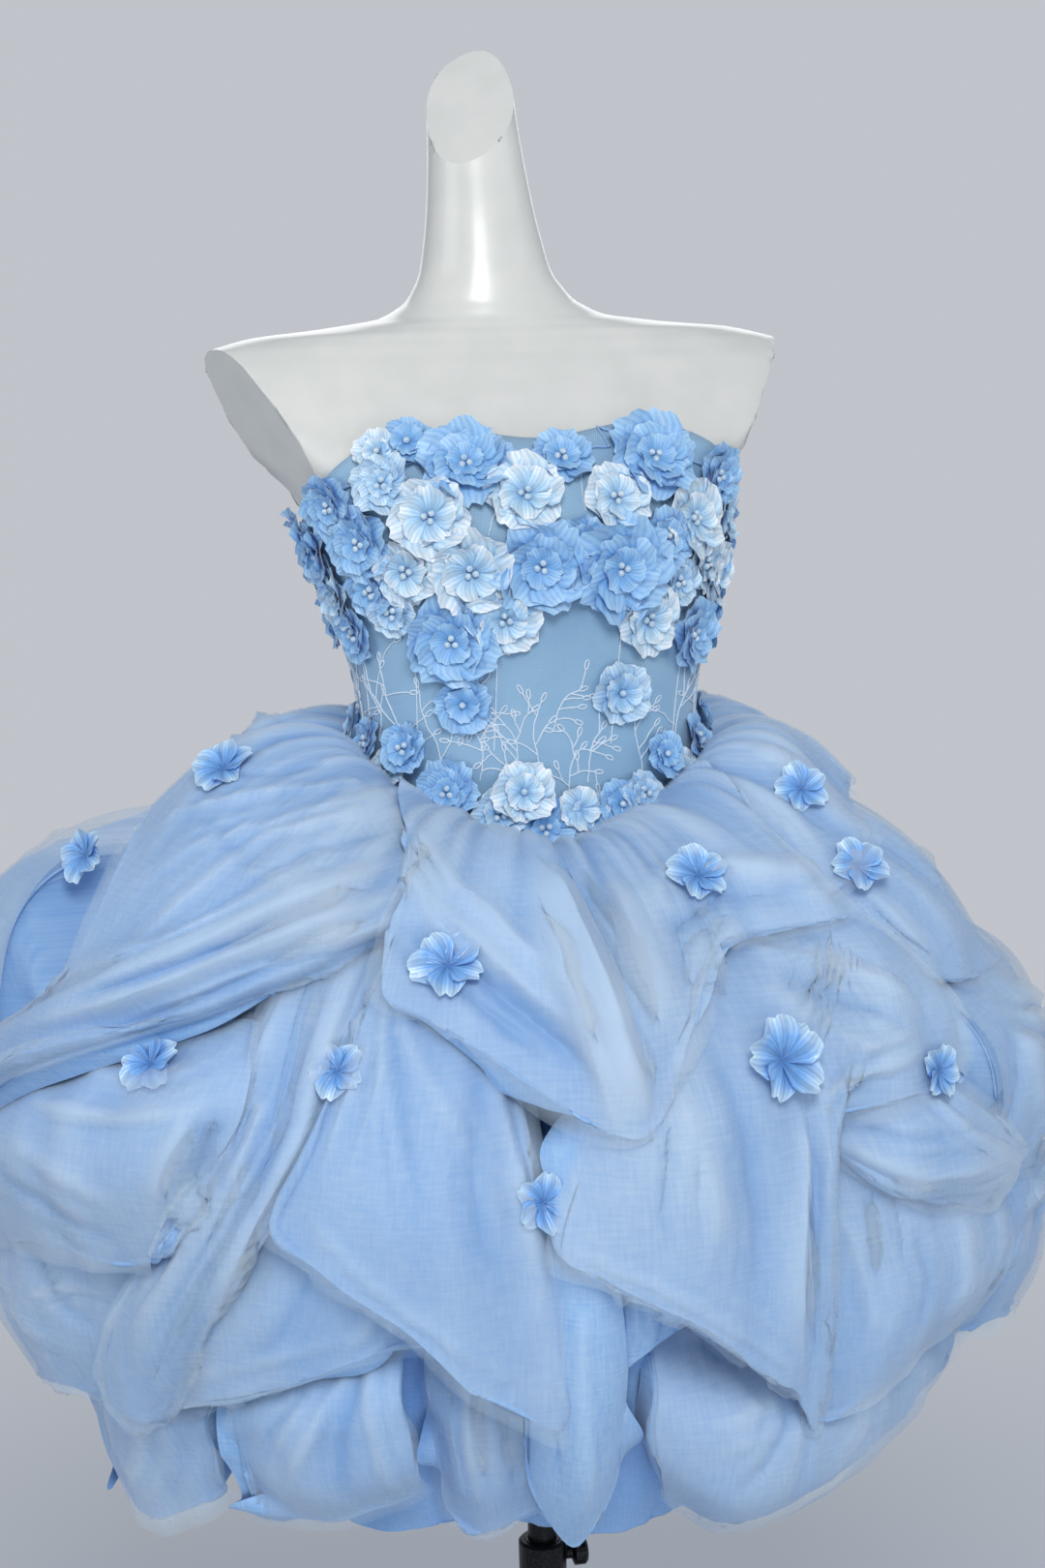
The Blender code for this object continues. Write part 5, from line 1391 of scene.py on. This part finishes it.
# A flower is its kind, its turn in degrees and its height in cm, its reach in mm, its
# rings and pearls, how far it is spun, and the solid that it replaces, if there is one.
Bloom = namedtuple("Bloom", "kind turn height reach rings pearls spin node", defaults=[""])
BLOOMS = [Bloom(*row) for row in (
    ("blue", -28, 127.1, 28, FULL, 3, 10, "flower_neck_left"),
    ("white", -36, 123.7, 26, OPEN, 3, 40, "flower_left"),
    ("blue", 37, 127.1, 30, FULL, 3, -12, "flower_neck_right"),
    ("blue", -5, 120.2, 30, FULL, 3, 30, "flower_front"),
    ("blue", 20, 119.8, 33, FULL, 3, 0, "flower_front_right"),
    ("blue", -32, 115.2, 29, FULL, 3, 18, "flower_low_left"),
    ("satin", -64, 107.3, 21, SINGLE, 0, 15, "flower_swag_left"),
    ("satin", -22, 96.4, 24, SINGLE, 0, 35, "flower_swag_front"),
    ("satin", 45, 104.3, 18, SINGLE, 0, 20, "flower_puff_right"),
    ("satin", 17, 89.8, 29, SINGLE, 0, 5, "flower_gore_right"),
    ("blue", -46, 128.6, 17, FLAT, 1, 0), ("pale", -49, 125.9, 20, FULL, 3, 20),
    ("white", -9, 125.0, 25, OPEN, 3, 5), ("blue", 5, 127.3, 20, FLAT, 3, 30),
    ("white", 20, 124.5, 22, OPEN, 3, 15), ("white", 46, 122.8, 25, OPEN, 4, 40),
    ("blue", 58, 125.6, 22, FULL, 3, 10), ("pale", 66, 122.6, 22, FULL, 3, 25),
    ("blue", -56, 121.9, 24, FULL, 3, 0), ("blue", -78, 120.6, 24, FULL, 3, 50),
    ("blue", -64, 124.4, 22, FULL, 3, 12), ("white", -43, 120.1, 21, OPEN, 3, 33),
    ("white", -25, 120.0, 26, OPEN, 3, 8), ("white", 61, 118.6, 23, OPEN, 3, 20),
    ("pale", -49, 117.2, 17, FLAT, 3, 44), ("white", -16, 116.7, 23, OPEN, 3, 10),
    ("white", 30, 116.1, 23, OPEN, 3, 36), ("blue", 50, 114.6, 24, FULL, 3, 5),
    ("blue", -66, 115.4, 20, FLAT, 3, 28), ("blue", -30, 110.8, 18, FLAT, 1, 15),
    ("pale", 22, 111.1, 21, FLAT, 1, 25), ("blue", 34, 121.6, 21, FLAT, 3, 11),
    ("blue", 8, 121.8, 17, FLAT, 1, 50), ("blue", 74, 119.2, 24, FULL, 3, 0),
    ("blue", 70, 115.2, 20, FLAT, 3, 31), ("pale", -72, 117.8, 22, FULL, 3, 40),
    ("blue", 84, 121.2, 24, FULL, 3, 14), ("blue", -90, 121.4, 25, FULL, 3, 27),
    ("white", 96, 119.0, 23, OPEN, 3, 19), ("white", -102, 119.6, 24, OPEN, 3, 6),
    ("blue", 108, 121.0, 25, FULL, 3, 41), ("pale", -114, 121.0, 22, FLAT, 3, 33),
    ("pale", 122, 119.6, 22, FLAT, 3, 2), ("blue", -128, 119.8, 24, FULL, 3, 17),
    ("blue", 137, 121.0, 23, FULL, 3, 22), ("white", -143, 120.6, 22, OPEN, 3, 9),
    ("white", 152, 119.6, 21, FLAT, 1, 35), ("blue", -158, 119.8, 20, FLAT, 1, 48),
    ("blue", 92, 115.4, 19, FLAT, 1, 7), ("blue", -88, 116.0, 19, FLAT, 1, 13),
    ("blue", 118, 115.2, 17, FLAT, 1, 21), ("pale", -118, 115.6, 18, FLAT, 1, 39),
    ("blue", -19, 127.0, 17, FLAT, 3, 21), ("blue", -55, 118.6, 18, FLAT, 3, 34),
    ("white", 52, 119.6, 19, OPEN, 3, 47), ("pale", 40, 118.6, 17, FLAT, 3, 12),
    ("blue", 66, 125.4, 18, FLAT, 3, 38), ("white", -52, 128.0, 15, FLAT, 1, 9),
    ("blue", -49, 107.4, 17, FLAT, 3, 5), ("white", -56, 105.8, 15, FLAT, 3, 30),
    ("blue", -36, 104.4, 21, FULL, 3, 20), ("pale", -20, 102.8, 17, FLAT, 3, 10),
    ("white", -12, 104.4, 20, FLAT, 1, 25), ("white", 7, 103.0, 15, SINGLE, 0, 50),
    ("blue", -5, 101.6, 23, FULL, 3, 15), ("pale", 13, 102.2, 17, FLAT, 0, 5),
    ("blue", 38, 106.2, 15, FLAT, 1, 36), ("blue", 56, 106.6, 17, FLAT, 3, 18),
    ("blue", 22, 103.0, 16, FLAT, 1, 28), ("pale", 30, 103.6, 15, FLAT, 3, 8),
    ("white", 46, 104.8, 14, FLAT, 1, 40), ("blue", -66, 107.4, 17, FLAT, 3, 12),
    ("blue", 74, 107.6, 18, FLAT, 3, 33), ("pale", 96, 107.9, 17, FLAT, 1, 3),
    ("blue", 120, 107.9, 18, FLAT, 3, 24), ("white", 142, 107.9, 17, FLAT, 1, 42),
    ("blue", 162, 107.9, 17, FLAT, 3, 9), ("pale", -86, 107.8, 17, FLAT, 1, 16),
    ("blue", -108, 107.9, 18, FLAT, 3, 29), ("white", -132, 107.9, 17, FLAT, 1, 45),
    ("blue", -158, 107.9, 18, FLAT, 3, 4),
)]
SATIN = (                             # turn, height, reach, spin
    (-83, 100.6, 20, 40), (-55, 89.9, 21, 10), (-34, 90.2, 18, 30), (-11, 82.1, 19, 55),
    (16, 100.3, 21, 5), (42, 99.6, 20, 25), (37, 87.2, 18, 50), (80, 95, 23, 12),
    (102, 103, 21, 36), (122, 88, 25, 20), (143, 99, 22, 44), (166, 91, 24, 2),
    (-168, 102, 22, 28), (-149, 90, 24, 14), (-128, 101, 21, 39), (-108, 90, 23, 8),
    (62, 84, 21, 33), (-99, 79, 20, 17), (97, 77, 22, 26), (-176, 79, 22, 48), (-138, 77, 21, 5))
BLOOMS += [Bloom("satin", turn, height, reach, SINGLE, 0, spin)
           for turn, height, reach, spin in SATIN]
print("flowers:", len(BLOOMS))

# %% [markdown]
# ## Sewing on
# The ten flowers that are solids of their own are replaced one by one. The others share
# one mesh for the bodice and one for the skirt, because a hundred small objects would
# be slow to handle. The flowers at the waist lean outwards, over the gathers.

# %% Sew on the flowers
WAIST_FLOWERS, WAIST_TILT, WAIST_LIFT = 108.5, 0.35, 0.005
dressed = Layers()
dressed.known = shown.known + bodice.known
pearls = bmesh.new()
groups = {"flowers_bodice": new_flower_mesh(), "flowers_skirt": new_flower_mesh()}
draw = random.Random(5)
for bloom in BLOOMS:
    on_skirt = bloom.kind == "satin"
    group = "flowers_skirt" if on_skirt else "flowers_bodice"
    bm = new_flower_mesh() if bloom.node else groups[group]
    cloth = dressed if on_skirt else bodice
    place, normal = seat_on(cloth, bloom.turn, bloom.height)
    for aside, up in ((2, 0), (-2, 0), (0, 1), (0, -1)):            # even out the creases
        normal = normal + seat_on(cloth, bloom.turn + aside, bloom.height + up)[1]
    normal.normalize()
    if not on_skirt and bloom.height < WAIST_FLOWERS:
        normal = (normal + Vector((0, 0, WAIST_TILT))).normalized()
        place = place + normal * WAIST_LIFT
    add_bloom(bm, pearls, bloom, place, normal, draw)
    if bloom.node:
        piece = new_piece("bloom" + bloom.node[len("flower"):], bm,
                          satin if on_skirt else petal_cloth)
        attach(piece, "dressed_form")
        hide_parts(bloom.node)
for name, bm in groups.items():
    piece = new_piece(name, bm, satin if name == "flowers_skirt" else petal_cloth)
    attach(piece, "dressed_form")
    print(name, len(piece.data.polygons), "faces")

# %% [markdown]
# ## Pearls
# Small grey-blue pearls hold the petals at the centre of most flowers. Many tiny round
# things look right with few faces, so each is a coarse sphere with smooth shading, and
# all of them are one mesh. A clear coat gives the bright spot.

# %% Pearls
pearl, pearl_shader = new_material("pearl", (0.50, 0.64, 0.76), 0.20, Coat_Weight=0.6,
                                   Coat_Roughness=0.08)
speckle(pearl, pearl_shader, 2.5 * MM, (0.40, 0.55, 0.70), (0.66, 0.78, 0.86))
piece = new_piece("flower_pearls", pearls, pearl)
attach(piece, "dressed_form")
print("pearls", len(piece.data.polygons), "faces")

# %% [markdown]
# ## The stand
# The base, the pole and the clamp are black powder-coated steel and keep their own
# solids: only a material is put in their slots. The coat is a little grainy, in its
# colour and as a bump.

# %% The stand
black_steel, steel_shader = new_material("black_steel", (0.02, 0.02, 0.022), 0.38,
                                         Metallic=0.9)
powder = noise_node(black_steel, 600.0)
powdery = ramp_of(black_steel, powder, (0.35, (0.012, 0.012, 0.014)),
                  (0.7, (0.035, 0.035, 0.038)))
feed_shader(black_steel, steel_shader, powdery, powder, 0.3, 0.2 * MM)
for node in ("base_plate", "outer_tube", "clamp_collar", "clamp_knob", "mast"):
    for slot in NODES[node].material_slots:
        slot.material = black_steel
print("stand parts in", black_steel.name)

# %% [markdown]
# ## The zip
# The zip runs down the centre back. Its tape is woven, and its teeth are small bevelled
# blocks that lean on the two tapes in turn, from the bottom up to the slider.

# %% The zip
zip_nylon, nylon_shader = new_material("zip_nylon", (0.36, 0.55, 0.82), 0.45)
speckle(zip_nylon, nylon_shader, 1.0 * MM, (0.30, 0.49, 0.76), (0.42, 0.60, 0.85), 0.2)
TOOTH, TOOTH_PITCH = Vector((2.0, 1.0, 0.8)) * MM, 1.6 * MM
TOOTH_ASIDE, TOOTH_BEVEL, TAPE_END = 0.8 * MM, 0.2 * MM, 4 * MM
woven_tape = cloth_material("zip_tape", (0.22, 0.42, 0.74), (0.34, 0.54, 0.84), 0.55, 0.9 * MM)
tape_piece = new_piece("zip_tape_woven", outer_skin("zip_tape"), woven_tape)
smooth_through(tape_piece, 2)
declare_sheet(tape_piece)
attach(tape_piece, "dressed_form")
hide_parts("zip_tape")
tape = Layers()
tape.add(tape_piece)
teeth, count = bmesh.new(), 0
height, slider_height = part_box("zip_tape")[0][2] + TAPE_END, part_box("zip_slider")[0][2]
while height < slider_height:
    place, normal = seat_on(tape, 180, height * 100)
    side = (-1, 1)[count % 2] * TOOTH_ASIDE
    turn = normal.to_track_quat("Y", "Z").to_matrix().to_4x4()
    made = bmesh.ops.create_cube(teeth, size=1.0, matrix=(
        Matrix.Translation(place + Vector((side, 0, 0)) + normal * TOOTH.y / 3) @ turn
        @ Matrix.Diagonal((*TOOTH, 1))))
    edges = dict.fromkeys(e for v in made["verts"] for e in v.link_edges)
    bmesh.ops.bevel(teeth, geom=list(edges), offset=TOOTH_BEVEL, segments=1, profile=0.5,
                    affect="EDGES", material=-1)
    height, count = height + TOOTH_PITCH, count + 1
piece = new_piece("zip_teeth", teeth, zip_nylon)
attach(piece, "dressed_form")
print("zip teeth", count)

# %% [markdown]
# ## Slider and tab
# The slider and its pull tab keep their own solids too, since the tab swings. Their
# metal is a plain grey with a fine grain.

# %% Slider and tab
zip_metal, metal_shader = new_material("zip_metal", (0.62, 0.66, 0.72), 0.3, Metallic=0.9)
speckle(zip_metal, metal_shader, 0.8 * MM, (0.50, 0.54, 0.60), (0.68, 0.72, 0.77), 0.15)
for node in ("zip_slider", "zip_pull_tab"):
    for slot in NODES[node].material_slots:
        slot.material = zip_metal
print("slider and tab in", zip_metal.name)

# %% [markdown]
# ## Light
# A large soft light high in front is the main one, with weaker ones from the sides,
# from below, and from behind for the rims of the sheer cloth.

# %% Light
def add_area(name, place, size, energy, aim=TARGET):
    """A square soft light that looks at a spot."""
    data = bpy.data.lights.new(name, "AREA")
    data.size, data.energy = size, energy
    light = bpy.data.objects.new(name, data)
    light.location = place
    light.rotation_mode = "QUATERNION"
    light.rotation_quaternion = (aim - Vector(place)).to_track_quat("-Z", "Y")
    bpy.context.scene.collection.objects.link(light)


add_area("key", (-0.3, -2.5, 2.7), 1.0, 41)
add_area("fill", (2.5, -1.6, 1.5), 2.0, 9)
add_area("low", (0.2, -2.5, 0.6), 1.4, 7, aim=Vector((0, 0, 0.8)))
add_area("side", (-2.4, -0.8, 1.7), 1.6, 14)
add_area("back", (0.6, 2.6, 1.8), 2.0, 18)

# %% [markdown]
# ## Background and floor
# The camera sees a pale wall colour, while the dress is lit by a slightly bluer sky: a
# Light Path node keeps the two apart. The floor takes the stand's shadow and fades out
# by its alpha, so that no horizon shows.

# %% Background and floor
WALL = (0.530, 0.550, 0.590)          # what the camera sees behind the dress
SKY, SKY_STRENGTH = (0.80, 0.86, 0.95), 0.40          # what lights it from all round
FLOOR_RADIUS, FADE_FROM, FADE_TO = 6.0, 0.9, 2.6
world = bpy.data.worlds.new("studio")
world.use_nodes = True
nodes, links = world.node_tree.nodes, world.node_tree.links
soft = nodes["Background"]
soft.inputs["Color"].default_value = (*SKY, 1)
soft.inputs["Strength"].default_value = SKY_STRENGTH
seen = nodes.new("ShaderNodeBackground")
seen.inputs["Color"].default_value = (*WALL, 1)
seen.inputs["Strength"].default_value = 1.0
path = nodes.new("ShaderNodeLightPath")
mix = nodes.new("ShaderNodeMixShader")
links.new(path.outputs["Is Camera Ray"], mix.inputs["Fac"])
links.new(soft.outputs[0], mix.inputs[1])
links.new(seen.outputs[0], mix.inputs[2])
links.new(mix.outputs[0], nodes["World Output"].inputs["Surface"])
bpy.context.scene.world = world

bm = bmesh.new()
bmesh.ops.create_circle(bm, cap_ends=True, segments=96, radius=FLOOR_RADIUS)
floor_material, floor_shader = new_material("floor", (0.60, 0.63, 0.68), 0.85)
place = add_node(floor_material, "ShaderNodeTexCoord").outputs["Object"]
away = add_node(floor_material, "ShaderNodeVectorMath", {0: place})
away.operation = "LENGTH"
fading = add_node(floor_material, "ShaderNodeMapRange", {"Value": away.outputs["Value"]},
                  From_Min=FADE_FROM, From_Max=FADE_TO, To_Min=1.0, To_Max=0.0)
floor_material.node_tree.links.new(fading.outputs["Result"], floor_shader.inputs["Alpha"])
floor = new_piece("floor", bm, floor_material)
print("floor", FLOOR_RADIUS, "m, gone by", FADE_TO, "m from the stand")
